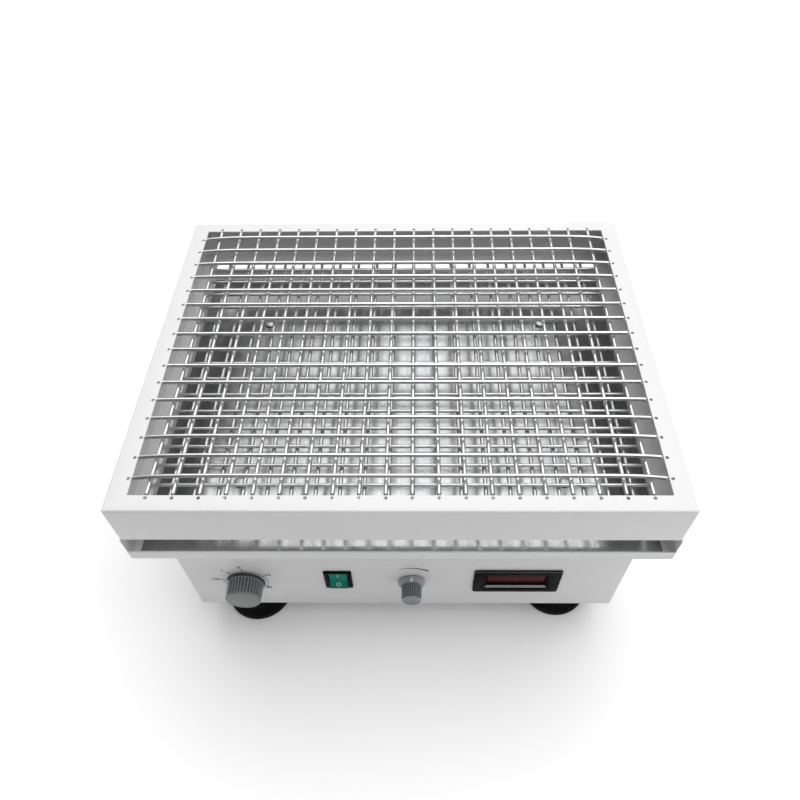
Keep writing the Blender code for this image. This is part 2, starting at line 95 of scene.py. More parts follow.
# ------------------------------------------------------------ camera first
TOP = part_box("tray_frame")[1].z
FOCAL, PX, PY = 671.5, 409.5, 456.9
PITCH_A, YAW_A, ROLL_A = math.radians(53.08), math.radians(1.14), math.radians(0.92)
cp, sp = math.cos(PITCH_A), math.sin(PITCH_A)
cw, sw = math.cos(YAW_A), math.sin(YAW_A)
cr, sr = math.cos(ROLL_A), math.sin(ROLL_A)
right0 = Vector((cw, sw, 0))
ahead = Vector((-sw * cp, cw * cp, -sp))
up0 = Vector((-sw * sp, cw * sp, cp))
ax = right0 * cr - up0 * sr
ay = right0 * sr + up0 * cr
cam_data = bpy.data.cameras.new("camera")
cam_data.sensor_width = 36.0
cam_data.lens = FOCAL / 800.0 * 36.0
cam_data.shift_x = (400.0 - PX) / 800.0
cam_data.shift_y = (PY - 400.0) / 800.0
cam_data.clip_start, cam_data.clip_end = 0.01, 50.0
cam = bpy.data.objects.new("camera", cam_data)
bpy.context.scene.collection.objects.link(cam)
pose = Matrix((
    (ax.x, ay.x, -ahead.x, 0.0),
    (ax.y, ay.y, -ahead.y, 0.0),
    (ax.z, ay.z, -ahead.z, 0.0),
    (0, 0, 0, 1),
))
cam.matrix_world = Matrix.Translation((0.0138, -0.4430, TOP + 0.4176)) @ pose
bpy.context.scene.camera = cam


# --------------------------------------------------------------- materials
def links(nt, a, b):
    nt.links.new(a, b)


class Mat:
    """A Principled material whose colour, roughness and normal come from noise."""

    def __init__(self, name, rough=0.4, metallic=0.0, **inputs):
        self.m = bpy.data.materials.new(name)
        self.m.use_nodes = True
        self.nt = self.m.node_tree
        self.sh = self.nt.nodes["Principled BSDF"]
        self.sh.inputs["Roughness"].default_value = rough
        self.sh.inputs["Metallic"].default_value = metallic
        for key, value in inputs.items():
            self.sh.inputs[key.replace("_", " ")].default_value = value
        self.co = self.nt.nodes.new("ShaderNodeTexCoord")
        self.last_bump = None

    def mapping(self, scale):
        node = self.nt.nodes.new("ShaderNodeMapping")
        node.inputs["Scale"].default_value = scale
        links(self.nt, self.co.outputs["Object"], node.inputs["Vector"])
        return node.outputs["Vector"]

    def noise(self, scale, stretch=(1, 1, 1), detail=3.0, rough=0.5):
        node = self.nt.nodes.new("ShaderNodeTexNoise")
        node.inputs["Scale"].default_value = scale
        node.inputs["Detail"].default_value = detail
        node.inputs["Roughness"].default_value = rough
        links(self.nt, self.mapping(stretch), node.inputs["Vector"])
        return node.outputs["Fac"]

    def remap(self, value, lo, hi, a=0.3, b=0.7):
        node = self.nt.nodes.new("ShaderNodeMapRange")
        node.inputs["From Min"].default_value = a
        node.inputs["From Max"].default_value = b
        node.inputs["To Min"].default_value = lo
        node.inputs["To Max"].default_value = hi
        links(self.nt, value, node.inputs["Value"])
        return node.outputs["Result"]

    def ramp(self, value, stops):
        node = self.nt.nodes.new("ShaderNodeValToRGB")
        el = node.color_ramp.elements
        while len(el) < len(stops):
            el.new(0.5)
        for e, (pos, col) in zip(el, stops):
            e.position = pos
            e.color = (*col, 1.0)
        links(self.nt, value, node.inputs["Fac"])
        return node.outputs["Color"]

    def colour(self, value, stops):
        links(self.nt, self.ramp(value, stops), self.sh.inputs["Base Color"])
        return self

    def rough(self, value, lo, hi):
        links(self.nt, self.remap(value, lo, hi), self.sh.inputs["Roughness"])
        return self

    def bump(self, value, strength, distance):
        node = self.nt.nodes.new("ShaderNodeBump")
        node.inputs["Strength"].default_value = strength
        node.inputs["Distance"].default_value = distance
        links(self.nt, value, node.inputs["Height"])
        if self.last_bump:
            links(self.nt, self.last_bump, node.inputs["Normal"])
        links(self.nt, node.outputs["Normal"], self.sh.inputs["Normal"])
        self.last_bump = node.outputs["Normal"]
        return self


def enamel(name, tone):
    m = Mat(name, 0.35)
    t = tone
    m.colour(m.noise(7.0, detail=4.0), [(0.3, (t - 0.012, t - 0.012, t - 0.010)),
                                        (0.7, (t + 0.008, t + 0.008, t + 0.010))])
    m.rough(m.noise(55.0), 0.30, 0.42)
    m.bump(m.noise(620.0, detail=2.0), 0.10, 0.0002)
    m.bump(m.noise(9.0, detail=1.0), 0.05, 0.002)
    return m.m


ENAMEL = enamel("white_enamel_coat", 0.725)
# The cabinet takes a lighter copy of the same white enamel: painted light that cancels the shade under the
# tray's overhang.
ENAMEL_PANEL_LIT = enamel("panel_enamel_painted_light", 0.77)

m = Mat("stainless_sheet", 0.15, 1.0)
grain = m.noise(1.0, (900, 5, 1), detail=5.0, rough=0.65)
m.colour(grain, [(0.3, (0.37, 0.375, 0.38)), (0.7, (0.455, 0.46, 0.465))])
m.rough(m.noise(1.0, (420, 4, 1), detail=5.0), 0.15, 0.25)
m.bump(grain, 0.012, 0.0001)
STAINLESS = m.m

m = Mat("spring_wire", 0.4, 1.0)
m.colour(m.noise(120.0), [(0.3, (0.60, 0.60, 0.60)), (0.7, (0.70, 0.70, 0.695))])
m.rough(m.noise(300.0), 0.27, 0.35)
m.bump(m.noise(1500.0, detail=2.0), 0.06, 0.0001)
WIRE = m.m

m = Mat("zinc_steel", 0.3, 1.0)
m.colour(m.noise(60.0), [(0.3, (0.46, 0.46, 0.47)), (0.7, (0.60, 0.60, 0.60))])
m.rough(m.noise(260.0), 0.22, 0.42)
m.bump(m.noise(900.0), 0.05, 0.0001)
ZINC = m.m

m = Mat("dark_casting", 0.55, 0.3)
m.colour(m.noise(90.0), [(0.3, (0.045, 0.048, 0.052)), (0.7, (0.085, 0.09, 0.095))])
m.rough(m.noise(300.0), 0.45, 0.7)
m.bump(m.noise(420.0, detail=4.0), 0.35, 0.0004)
CASTING = m.m

m = Mat("machined_aluminium", 0.3, 1.0)
m.colour(m.noise(1.0, (30, 30, 2200)), [(0.3, (0.66, 0.67, 0.68)), (0.7, (0.78, 0.79, 0.80))])
m.rough(m.noise(1.0, (40, 40, 1800)), 0.22, 0.40)
m.bump(m.noise(1.0, (20, 20, 2600)), 0.06, 0.0001)
ALU = m.m

m = Mat("black_rubber", 0.7)
m.sh.inputs["Specular IOR Level"].default_value = 0.06
m.colour(m.noise(70.0), [(0.3, (0.002, 0.002, 0.002)), (0.7, (0.007, 0.007, 0.008))])
m.rough(m.noise(240.0), 0.50, 0.75)
m.bump(m.noise(800.0, detail=3.0), 0.25, 0.0002)
RUBBER = m.m


def plastic(name, dark, light, r0, r1, grain_scale, grain_strength, spec=0.5, **inputs):
    m = Mat(name, r0, **inputs)
    m.sh.inputs["Specular IOR Level"].default_value = spec
    m.colour(m.noise(45.0), [(0.3, dark), (0.7, light)])
    m.rough(m.noise(300.0), r0, r1)
    m.bump(m.noise(grain_scale, detail=3.0), grain_strength, 0.00012)
    return m.m


GREY = plastic("knob_grey_plastic", (0.235, 0.25, 0.257), (0.265, 0.28, 0.287),
               0.36, 0.48, 1600.0, 0.10)
# A darker copy of the knob grey for the timer knob's front face: painted shade on the face turned away from
# the light.
GREY_FACE_SHADE = plastic("knob_face_painted_shade", (0.205, 0.21, 0.212), (0.225, 0.23, 0.232),
                    0.30, 0.42, 1600.0, 0.05)
BLUE_GREY = plastic("speed_knob_plastic", (0.21, 0.24, 0.26), (0.25, 0.28, 0.30),
                    0.36, 0.48, 1600.0, 0.10)
BLACK = plastic("black_moulded_plastic", (0.003, 0.003, 0.0035), (0.008, 0.009, 0.010),
                0.22, 0.34, 1300.0, 0.12, spec=0.02)
# A darker copy of the knob plastic: painted shade for the knob grooves and the timer knob's base ring.
GROOVE_SHADE = plastic("knob_groove_painted_shade", (0.085, 0.09, 0.094), (0.11, 0.115, 0.12),
                0.45, 0.6, 1600.0, 0.10, spec=0.2)
# A lighter copy of the speed knob plastic: painted highlight on the knob's skirt and front rounded rim.
SKIRT_HIGHLIGHT = plastic("speed_knob_painted_highlight", (0.33, 0.36, 0.38), (0.38, 0.41, 0.43),
                0.36, 0.48, 1600.0, 0.08)
# A grey on the black bezel: a painted highlight line along the meter bezel's top edge.
EDGE_HIGHLIGHT = plastic("bezel_painted_highlight", (0.10, 0.10, 0.105), (0.14, 0.14, 0.145),
               0.25, 0.35, 1300.0, 0.05)
# A light blue-grey for the strip on the meter bezel's lower slope: a painted reflection of the overhead light.
LEDGE_REFLECTION = plastic("ledge_painted_reflection", (0.34, 0.38, 0.40), (0.42, 0.46, 0.48), 0.2, 0.3,
                1400.0, 0.05)
WHITE_PRINT = plastic("white_print", (0.78, 0.79, 0.79), (0.86, 0.86, 0.86), 0.4, 0.5,
                      1500.0, 0.05)
INK = plastic("panel_ink", (0.012, 0.012, 0.013), (0.03, 0.03, 0.031), 0.5, 0.6, 2000.0,
              0.08, spec=0.2)

m = Mat("green_rocker_plastic", 0.18, 0.0)
m.sh.inputs["Specular IOR Level"].default_value = 0.05
m.colour(m.noise(140.0), [(0.3, (0.0, 0.17, 0.125)), (0.7, (0.002, 0.23, 0.165))])
m.rough(m.noise(500.0), 0.14, 0.24)
m.bump(m.noise(900.0), 0.04, 0.0001)
GREEN = m.m

m = Mat("red_display_window", 0.15, 0.0)
m.sh.inputs["Specular IOR Level"].default_value = 0.06
m.colour(m.noise(1.0, (70, 20, 30)), [(0.3, (0.040, 0.003, 0.002)),
                                      (0.7, (0.075, 0.006, 0.004))])
m.rough(m.noise(80.0), 0.12, 0.22)
WINDOW = m.m
m = Mat("display_segments", 0.2, 0.0)
m.sh.inputs["Specular IOR Level"].default_value = 0.06
m.colour(m.noise(200.0), [(0.3, (0.028, 0.002, 0.0015)), (0.7, (0.042, 0.003, 0.002))])
SEGMENT = m.m

m = Mat("board_green", 0.45)
m.colour(m.noise(120.0), [(0.3, (0.01, 0.09, 0.035)), (0.7, (0.02, 0.15, 0.06))])
m.bump(m.noise(900.0), 0.1, 0.0002)
BOARD = m.m


# ------------------------------------------------------------ mesh helpers
def obj_from(bm, name, mat=None, angle=35):
    bmesh.ops.recalc_face_normals(bm, faces=bm.faces)
    mesh = bpy.data.meshes.new(name)
    bm.to_mesh(mesh)
    bm.free()
    mesh.shade_smooth()
    if angle:
        mesh.set_sharp_from_angle(angle=math.radians(angle))
    o = bpy.data.objects.new(name, mesh)
    bpy.context.scene.collection.objects.link(o)
    if mat:
        mesh.materials.append(mat)
    return o


def place(o, body, replaces=()):
    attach(o, body)
    if replaces:
        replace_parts(o, *replaces)
    return o


def add_box(bm, x, y, z, bevel=0.0, segments=3, edges=None):
    """A box, with its edges (all, or those along some axes) rounded."""
    made = bmesh.ops.create_cube(bm, size=1.0)
    verts = made["verts"]
    for v in verts:
        v.co = Vector((
            x[1] if v.co.x > 0 else x[0],
            y[1] if v.co.y > 0 else y[0],
            z[1] if v.co.z > 0 else z[0],
        ))
    if bevel:
        es = {e for v in verts for e in v.link_edges}
        if edges:
            es = {e for e in es if any(
                abs((e.verts[0].co - e.verts[1].co).normalized()["xyz".index(k)]) > 0.9
                for k in edges)}
        bmesh.ops.bevel(bm, geom=list(es), offset=bevel, segments=segments,
                        affect="EDGES", profile=0.5)
    return verts


def turn_z(p):
    return p


def along_minus_y(p):
    """Local (x, y, h) to world (x, -h, y): h points out of the panel."""
    return Vector((p[0], -p[2], p[1]))


def revolve(bm, profile, n, centre, to_world=turn_z, radius=None):
    """Turns (r, h) points round local Z. radius(r, h, angle) may vary it."""
    rings = []
    for r, h in profile:
        if r < 1e-9:
            rings.append([bm.verts.new(Vector(centre) + Vector(to_world((0, 0, h))))])
            continue
        ring = []
        for i in range(n):
            a = math.tau * i / n
            rr = radius(r, h, a) if radius else r
            ring.append(bm.verts.new(
                Vector(centre) + Vector(to_world((rr * math.sin(a), rr * math.cos(a), h)))))
        rings.append(ring)
    for a, b in zip(rings, rings[1:]):
        if len(a) == 1 and len(b) == 1:
            continue
        for i in range(n):
            j = (i + 1) % n
            if len(a) == 1:
                bm.faces.new((a[0], b[i], b[j]))
            elif len(b) == 1:
                bm.faces.new((a[i], b[0], a[j]))
            else:
                bm.faces.new((a[i], b[i], b[j], a[j]))
    return rings


def close_loop(bm, rings, n):
    a, b = rings[-1], rings[0]
    for i in range(n):
        j = (i + 1) % n
        bm.faces.new((a[i], b[i], b[j], a[j]))


def rounded(points, r, steps=4, closed=False):
    """A polyline in (r, h) with its inner corners rounded."""
    out = []
    n = len(points)
    for i, p in enumerate(points):
        if not closed and i in (0, n - 1):
            out.append(p)
            continue
        a, c = Vector(points[i - 1]), Vector(points[(i + 1) % n])
        b = Vector(p)
        da, dc = (a - b), (c - b)
        k = min(r, da.length * 0.45, dc.length * 0.45)
        if k < 1e-7 or da.normalized().dot(dc.normalized()) < -0.995:
            out.append(p)
            continue
        p0, p1 = b + da.normalized() * k, b + dc.normalized() * k
        for s in range(steps + 1):
            t = s / steps
            q = p0 * (1 - t) ** 2 + b * 2 * t * (1 - t) + p1 * t * t
            out.append((q.x, q.y))
    return out


def boolean(o, cutter, operation="DIFFERENCE"):
    """Applies one exact Boolean and removes the cutter."""
    mod = o.modifiers.new("cut", "BOOLEAN")
    mod.operation = operation
    mod.solver = "EXACT"
    mod.object = cutter
    bpy.context.view_layer.update()
    ev = o.evaluated_get(bpy.context.evaluated_depsgraph_get())
    new = bpy.data.meshes.new_from_object(ev)
    old = o.data
    o.modifiers.clear()
    o.data = new
    new.name = old.name
    bpy.data.meshes.remove(old)
    bpy.data.objects.remove(cutter)
    o.data.shade_smooth()
    o.data.set_sharp_from_angle(angle=math.radians(32))
    return o


def box_piece(name, x, y, z, mat=None, bevel=0.0, segments=3, edges=None):
    bm = bmesh.new()
    add_box(bm, x, y, z, bevel, segments, edges)
    return obj_from(bm, name, mat)


def dress_cad(node, mat, bevel=0.0003):
    """A CAD node that is shown as it is: welded, edges eased, and a new finish."""
    o = NODES[node]
    o.data.shade_smooth()
    o.data.materials.clear()
    o.data.materials.append(mat)
    weld = o.modifiers.new("weld", "WELD")
    weld.merge_threshold = 1e-6
    if bevel:
        ease = o.modifiers.new("ease", "BEVEL")
        ease.width = bevel
        ease.segments = 2
        ease.limit_method = "ANGLE"
        ease.angle_limit = math.radians(40)
        ease.use_clamp_overlap = True
    split = o.modifiers.new("split", "EDGE_SPLIT")
    split.split_angle = math.radians(34)
    return o


# ---------------------------------------------------------------- platform
flo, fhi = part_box("tray_frame")
plo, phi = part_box("tray_pan")
HX, HY = fhi.x, fhi.y
OX, OY = 0.2044, 0.1650
T = 1.2 * MM
PITCH = 0.020
XS = [(i - 9.5) * PITCH for i in range(20)]
YS = [(i - 7.5) * PITCH for i in range(16)]
HOOK_X, HOOK_Y = 0.2070, 0.1676


def sweep_rect(bm, hx, hy, profile, rc, steps=4):
    """A closed section swept round a rectangle. profile: (dx, dy, z) inwards."""
    rings = []
    for q, (sx, sy) in enumerate(((1, 1), (-1, 1), (-1, -1), (1, -1))):
        for s in range(steps + 1):
            a = math.radians(90 * s / steps + 90 * q)
            ring = []
            for dx, dy, z in profile:
                if max(dx, dy) < rc:
                    r = rc - dx
                    p = (sx * (hx - rc) + r * math.cos(a), sy * (hy - rc) + r * math.sin(a), z)
                else:
                    p = (sx * (hx - dx), sy * (hy - dy), z)
                ring.append(bm.verts.new(p))
            rings.append(ring)
    n = len(profile)
    for i in range(len(rings)):
        a, b = rings[i], rings[(i + 1) % len(rings)]
        for k in range(n):
            bm.faces.new((a[k], b[k], b[(k + 1) % n], a[(k + 1) % n]))
    bmesh.ops.remove_doubles(bm, verts=bm.verts, dist=1e-7)
    bmesh.ops.dissolve_degenerate(bm, edges=bm.edges, dist=1e-8)


def channel_profile(z0, z1, r):
    fx, fy = HX - OX, HY - OY
    pts = []

    def arc(cx, cz, rad, a0, a1, n=5):
        for k in range(n + 1):
            a = math.radians(a0 + (a1 - a0) * k / n)
            d = cx + rad * math.cos(a)
            pts.append((d, d, cz + rad * math.sin(a)))

    pts.append((fx, fy, z1 - 0.0002))
    pts.append((fx - 0.0002, fy - 0.0002, z1))
    arc(r, z1 - r, r, 90, 180)
    arc(r, z0 + r, r, 180, 270)
    pts.append((fx - 0.0002, fy - 0.0002, z0))
    pts.append((fx, fy, z0 + 0.0002))
    pts.append((fx, fy, z0 + T))
    arc(r, z0 + r, r - T if r > T else 0.0003, 270, 180)
    arc(r, z1 - r, r - T if r > T else 0.0003, 180, 90)
    pts.append((fx, fy, z1 - T))
    return pts


bm = bmesh.new()
sweep_rect(bm, HX, HY, channel_profile(flo.z, fhi.z, 1.9 * MM), 2.2 * MM)
spring_frame = obj_from(bm, "spring_frame", ENAMEL, 25)
bm = bmesh.new()
for z in (fhi.z - T / 2, flo.z + T / 2):
    for y in YS:
        for s in (-1, 1):
            bmesh.ops.create_cone(bm, cap_ends=True, segments=12, radius1=1.5 * MM,
                                  radius2=1.5 * MM, depth=3 * T,
                                  matrix=Matrix.Translation((s * HOOK_X, y, z)))
    for x in XS:
        for s in (-1, 1):
            bmesh.ops.create_cone(bm, cap_ends=True, segments=12, radius1=1.5 * MM,
                                  radius2=1.5 * MM, depth=3 * T,
                                  matrix=Matrix.Translation((x, s * HOOK_Y, z)))
boolean(spring_frame, obj_from(bm, "cut_hooks"))
place(spring_frame, "tray", ["tray_frame"])

# Pan: folded sheet with hemmed lips at front and rear and tall plain sides.
LIP_Z = 0.1766
bm = bmesh.new()
add_box(bm, (plo.x, phi.x), (plo.y, phi.y), (plo.z, phi.z + 0.004), 1.4 * MM, 3, "z")
bm.edges.ensure_lookup_table()
low = [e for e in bm.edges if all(abs(v.co.z - plo.z) < 1e-6 for v in e.verts)]
bmesh.ops.bevel(bm, geom=low, offset=1.4 * MM, segments=3, affect="EDGES", profile=0.5)
pan = obj_from(bm, "tray_pan_sheet", ENAMEL)
inner = box_piece("cut_a", (plo.x + T, phi.x - T), (plo.y + T, phi.y - T),
                  (plo.z + T, phi.z + 0.01))
boolean(pan, inner)
boolean(pan, box_piece("cut_b", (plo.x - 0.01, phi.x + 0.01), (plo.y - 0.01, phi.y + 0.01),
                       (phi.z, phi.z + 0.02)))
boolean(pan, box_piece("cut_c", (plo.x + T, phi.x - T), (plo.y - 0.01, phi.y + 0.01),
                       (LIP_Z, phi.z + 0.02)))
bm = bmesh.new()
for s in (-1, 1):
    ys = sorted((s * (phi.y - 0.35 * MM), s * (phi.y + 5 * MM)))
    add_box(bm, (plo.x - 0.01, phi.x + 0.01), ys, (plo.z - 0.01, 0.1713))
boolean(pan, obj_from(bm, "cut_hem"))
corners = [(sx * mid("floor_screw_" + e + "_right").x, mid("floor_screw_" + e + "_right").y)
           for e in ("front", "rear") for sx in (-1, 1)]
bm = bmesh.new()
for x, y in corners:
    bmesh.ops.create_cone(bm, cap_ends=True, segments=24, radius1=2.8 * MM,
                          radius2=2.8 * MM, depth=0.02,
                          matrix=Matrix.Translation((x, y, plo.z)))
boolean(pan, obj_from(bm, "cut_pan_holes"))
ease = pan.modifiers.new("ease", "BEVEL")
ease.width, ease.segments, ease.limit_method = 0.25 * MM, 2, "ANGLE"
ease.angle_limit = math.radians(50)
place(pan, "tray", ["tray_pan"])

# Stainless floor sheet with four fixing holes.
slo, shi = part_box("floor_plate")
floor_sheet = box_piece("floor_sheet", (slo.x, shi.x), (slo.y, shi.y), (slo.z, shi.z),
                        STAINLESS, 0.3 * MM, 2)
bm = bmesh.new()
for x, y in corners:
    bmesh.ops.create_cone(bm, cap_ends=True, segments=32, radius1=2.8 * MM,
                          radius2=2.8 * MM, depth=0.01,
                          matrix=Matrix.Translation((x, y, slo.z)))
bmesh.ops.create_cone(bm, cap_ends=True, segments=24, radius1=1.6 * MM, radius2=1.6 * MM,
                      depth=0.0006, matrix=Matrix.Translation((0.0015, -0.0179, shi.z)))
boolean(floor_sheet, obj_from(bm, "cut_floor_holes"))
place(floor_sheet, "tray", ["floor_plate"])


def cross_cutter(bm, x, y, z, arm, width, depth):
    for a, b in ((arm, width), (width, arm)):
        add_box(bm, (x - a, x + a), (y - b, y + b), (z - depth, z + 0.004))


for end in ("front", "rear"):
    for side in ("left", "right"):
        node = "floor_screw_%s_%s" % (end, side)
        lo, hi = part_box(node)
        c = (lo + hi) / 2
        r = (hi.x - lo.x) / 2
        base_z = shi.z + 0.35 * MM
        bm = bmesh.new()
        dome = [(0, hi.z), (r * 0.35, hi.z - 0.08 * MM), (r * 0.65, hi.z - 0.35 * MM),
                (r * 0.86, hi.z - 0.9 * MM), (r * 0.98, hi.z - 1.6 * MM),
                (r, base_z + 0.25 * MM), (r * 0.97, base_z), (2.3 * MM, base_z),
                (2.3 * MM, lo.z + 0.4 * MM), (1.9 * MM, lo.z), (0, lo.z)]
        revolve(bm, dome, 40, (c.x, c.y, 0))
        screw = obj_from(bm, "screw_" + end + "_" + side, ZINC)
        bm = bmesh.new()
        cross_cutter(bm, c.x, c.y, hi.z, 2.5 * MM, 0.55 * MM, 1.5 * MM)
        boolean(screw, obj_from(bm, "cut_cross"))
        place(screw, "tray", [node])


# ----------------------------------------------------------------- springs
def thread(path, radius, pitch, sides, groove):
    """A close-wound spring as one helical thread along a path.

    path maps a share 0..1 to (point, ...) arrays; the section turns about the
    path's main direction. Returns vertices and faces with closed ends.
    """
    a, b = path(np.array([0.0]))[0], path(np.array([1.0]))[0]
    length = float(np.linalg.norm(b - a))
    main = (b - a) / length
    side = np.cross(main, (0, 0, 1.0))
    side /= np.linalg.norm(side)
    up = np.cross(side, main)
    h = pitch / 2
    rows = int(length / h)
    k = np.arange(rows + 1)[:, None]
    j = np.arange(sides)[None, :]
    s = np.clip((k - 1) * h + pitch * j / sides, 0, length)
    r = np.where(k % 2 == 0, radius, radius - groove) + 0 * j
    phi = math.tau * j / sides + 0 * k
    centre = path((s / length).ravel())
    spot = (centre
            + (r * np.cos(phi)).ravel()[:, None] * side
            + (r * np.sin(phi)).ravel()[:, None] * up)
    def v(kk, jj):
        return kk * sides + jj
    faces = []
    for kk in range(rows):
        for jj in range(sides - 1):
            faces.append((v(kk, jj), v(kk + 1, jj), v(kk + 1, jj + 1), v(kk, jj + 1)))
        if kk + 3 <= rows:
            faces.append((v(kk, sides - 1), v(kk + 1, sides - 1), v(kk + 3, 0), v(kk + 2, 0)))
    start = [v(0, jj) for jj in range(sides)] + [v(2, 0), v(1, 0)]
    end = [v(rows, jj) for jj in range(sides)][::-1] + [v(rows, 0)]
    end = [v(rows, jj) for jj in range(sides - 1, -1, -1)]
    tail = [v(rows - 2, sides - 1), v(rows - 1, sides - 1)]
    faces.append(start)
    faces.append(end + tail[:0])
    return spot, faces, (rows, sides)


def tube(points, radius, sides=6):
    """A short wire through points, closed at both ends."""
    pts = np.array(points, float)
    verts, faces = [], []
    ref = None
    for i, p in enumerate(pts):
        d = pts[min(i + 1, len(pts) - 1)] - pts[max(i - 1, 0)]
        d = d / np.linalg.norm(d)
        if ref is None:
            ref = np.cross(d, (0.31, 0.95, 0.11))
        ref = ref - d * (ref @ d)
        ref /= np.linalg.norm(ref)
        other = np.cross(d, ref)
        for k in range(sides):
            a = math.tau * k / sides
            verts.append(p + radius * (math.cos(a) * ref + math.sin(a) * other))
    n = len(pts)
    for i in range(n - 1):
        for k in range(sides):
            m = (k + 1) % sides
            faces.append((i * sides + k, i * sides + m, (i + 1) * sides + m, (i + 1) * sides + k))
    faces.append(tuple(range(sides - 1, -1, -1)))
    faces.append(tuple((n - 1) * sides + k for k in range(sides)))
    return np.array(verts), faces


def springs(name, along, height, body_end, wire_z, tip_z, pitch, sides, replaces):
    """One layer of springs with hooked ends, as one piece.

    height(c, s) is the axis of the spring at offset c, at distances s along it.
    The end hooks run at wire_z past the flange and turn to tip_z in its holes.
    """
    R, groove = 1.8 * MM, 0.14 * MM
    hook = HOOK_X if along == "x" else HOOK_Y
    turn = 1.0 if tip_z > wire_z else -1.0
    all_v, all_f, base = [], [], 0
    for c in (YS if along == "x" else XS):
        def path(t, c=c):
            s = (2 * t - 1) * body_end
            z = height(c, s)
            if along == "x":
                return np.stack([s, np.full_like(s, c), z], 1)
            return np.stack([np.full_like(s, c), s, z], 1)
        v, f, _ = thread(path, R, pitch, sides, groove)
        all_v.append(v)
        all_f += [tuple(i + base for i in face) for face in f]
        base += len(v)
        for sgn in (-1, 1):
            zs = path(np.array([0.5 + 0.5 * sgn]))[0][2]
            start = max(min(wire_z, zs + 1.2 * MM), zs - 1.2 * MM)
            line = [(body_end - 1.6 * MM, start),
                    (min(body_end + 0.5 * MM, hook - 1.6 * MM), wire_z + (start - wire_z) * 0.25),
                    (hook - 0.9 * MM, wire_z), (hook - 0.1 * MM, wire_z + turn * 0.35 * MM),
                    (hook + 0.25 * MM, wire_z + turn * 1.0 * MM), (hook - 0.1 * MM, tip_z)]
            pts = [((sgn * s, c, z) if along == "x" else (c, sgn * s, z)) for s, z in line]
            v, f = tube(pts, 0.5 * MM)
            all_v.append(v)
            all_f += [tuple(i + base for i in face) for face in f]
            base += len(v)
    mesh = bpy.data.meshes.new(name)
    mesh.from_pydata(np.concatenate(all_v).tolist(), [], all_f)
    mesh.update()
    bm = bmesh.new()
    bm.from_mesh(mesh)
    holes = [e for e in bm.edges if len(e.link_faces) == 1]
    if holes:
        bmesh.ops.holes_fill(bm, edges=holes, sides=0)
    bmesh.ops.recalc_face_normals(bm, faces=bm.faces)
    bm.to_mesh(mesh)
    bm.free()
    mesh.shade_smooth()
    mesh.materials.append(WIRE)
    o = bpy.data.objects.new(name, mesh)
    bpy.context.scene.collection.objects.link(o)
    return place(o, "tray", replaces)


def crown(y):
    """Left to right springs ride up over the others towards both ends."""
    front, rear = max(0.0, -y / MM - 40.0) / 110.0, max(0.0, y / MM - 50.0) / 100.0
    return (3.9 * front ** 1.3 + 2.9 * rear ** 1.2) * MM


RIM, SOLE = fhi.z, flo.z
springs("upper_springs_across", "x",
        lambda y, s: RIM + 0.25 * MM + crown(y) * (1 - np.abs(s / 0.2040) ** 12),
        0.2033, RIM - T - 0.62 * MM, RIM - 0.9 * MM, 1.35 * MM, 8, ["upper_spring_net"])
springs("upper_springs_along", "y",
        lambda x, s: RIM - 0.8 * MM - (3.0 + 0.9 * (1 - (x / 0.19) ** 2)) * MM
        * (1 - np.abs(s / 0.1650) ** 2.2),
        0.1640, RIM - T - 0.62 * MM, RIM - 0.9 * MM, 1.35 * MM, 8, ["upper_spring_net"])
springs("lower_springs_across", "x", lambda y, s: SOLE + 4.7 * MM + 0 * s,
        0.2050, SOLE + T + 0.7 * MM, SOLE - 0.1 * MM, 2.0 * MM, 6, ["lower_spring_net"])
springs("lower_springs_along", "y", lambda x, s: SOLE + 0.9 * MM + 0 * s,
        0.1640, SOLE + T + 0.62 * MM, SOLE - 0.1 * MM, 2.0 * MM, 6, ["lower_spring_net"])

# ----------------------------------------------------------------- cabinet
clo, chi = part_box("cabinet_shell")
FACE = clo.y
bm = bmesh.new()
add_box(bm, (clo.x, chi.x), (clo.y, chi.y), (clo.z, chi.z), 1.6 * MM, 4)
bmesh.ops.translate(bm, verts=[], vec=(0, 0, 0))
shell = obj_from(bm, "cabinet", ENAMEL_PANEL_LIT)
for v in shell.data.vertices:      # the lower edge is a plain cut edge
    if v.co.z < clo.z + 2 * MM:
        v.co.z = clo.z - 0.5 * MM
boolean(shell, box_piece("cut_low", (clo.x - 0.01, chi.x + 0.01),
                         (clo.y - 0.01, chi.y + 0.01), (clo.z - 0.02, clo.z)))
boolean(shell, box_piece("cut_in", (clo.x + T, chi.x - T), (clo.y + T, chi.y - T),
                         (clo.z - 0.02, chi.z - T), bevel=0.5 * MM, segments=2))
cuts = bmesh.new()
crank = mid("main_pulley")
bmesh.ops.create_cone(cuts, cap_ends=True, segments=64, radius1=0.0285, radius2=0.0285,
                      depth=0.02, matrix=Matrix.Translation((crank.x, crank.y, chi.z)))
for end in ("front", "rear"):
    for side in ("left", "right"):
        c = mid("idler_housing_%s_%s" % (end, side))
        bmesh.ops.create_cone(cuts, cap_ends=True, segments=48, radius1=0.0225,
                              radius2=0.0225, depth=0.02,
                              matrix=Matrix.Translation((c.x, c.y, chi.z)))
tc, rc_, sc, mc = (mid(n) for n in ("timer_knob", "rocker_housing", "speed_knob",
                                    "meter_bezel"))
turn_y = Matrix.Rotation(math.radians(90), 4, "X")
for c, r in ((tc, 5.0), (sc, 3.9)):
    bmesh.ops.create_cone(cuts, cap_ends=True, segments=32, radius1=r * MM, radius2=r * MM,
                          depth=0.02, matrix=Matrix.Translation((c.x, FACE, c.z)) @ turn_y)
add_box(cuts, (rc_.x - 0.011, rc_.x + 0.011), (FACE - 0.01, FACE + 0.01),
        (rc_.z - 0.0142, rc_.z + 0.0142))
add_box(cuts, (mc.x - 0.0375, mc.x + 0.0375), (FACE - 0.01, FACE + 0.01),
        (mc.z - 0.0176, mc.z + 0.0176))
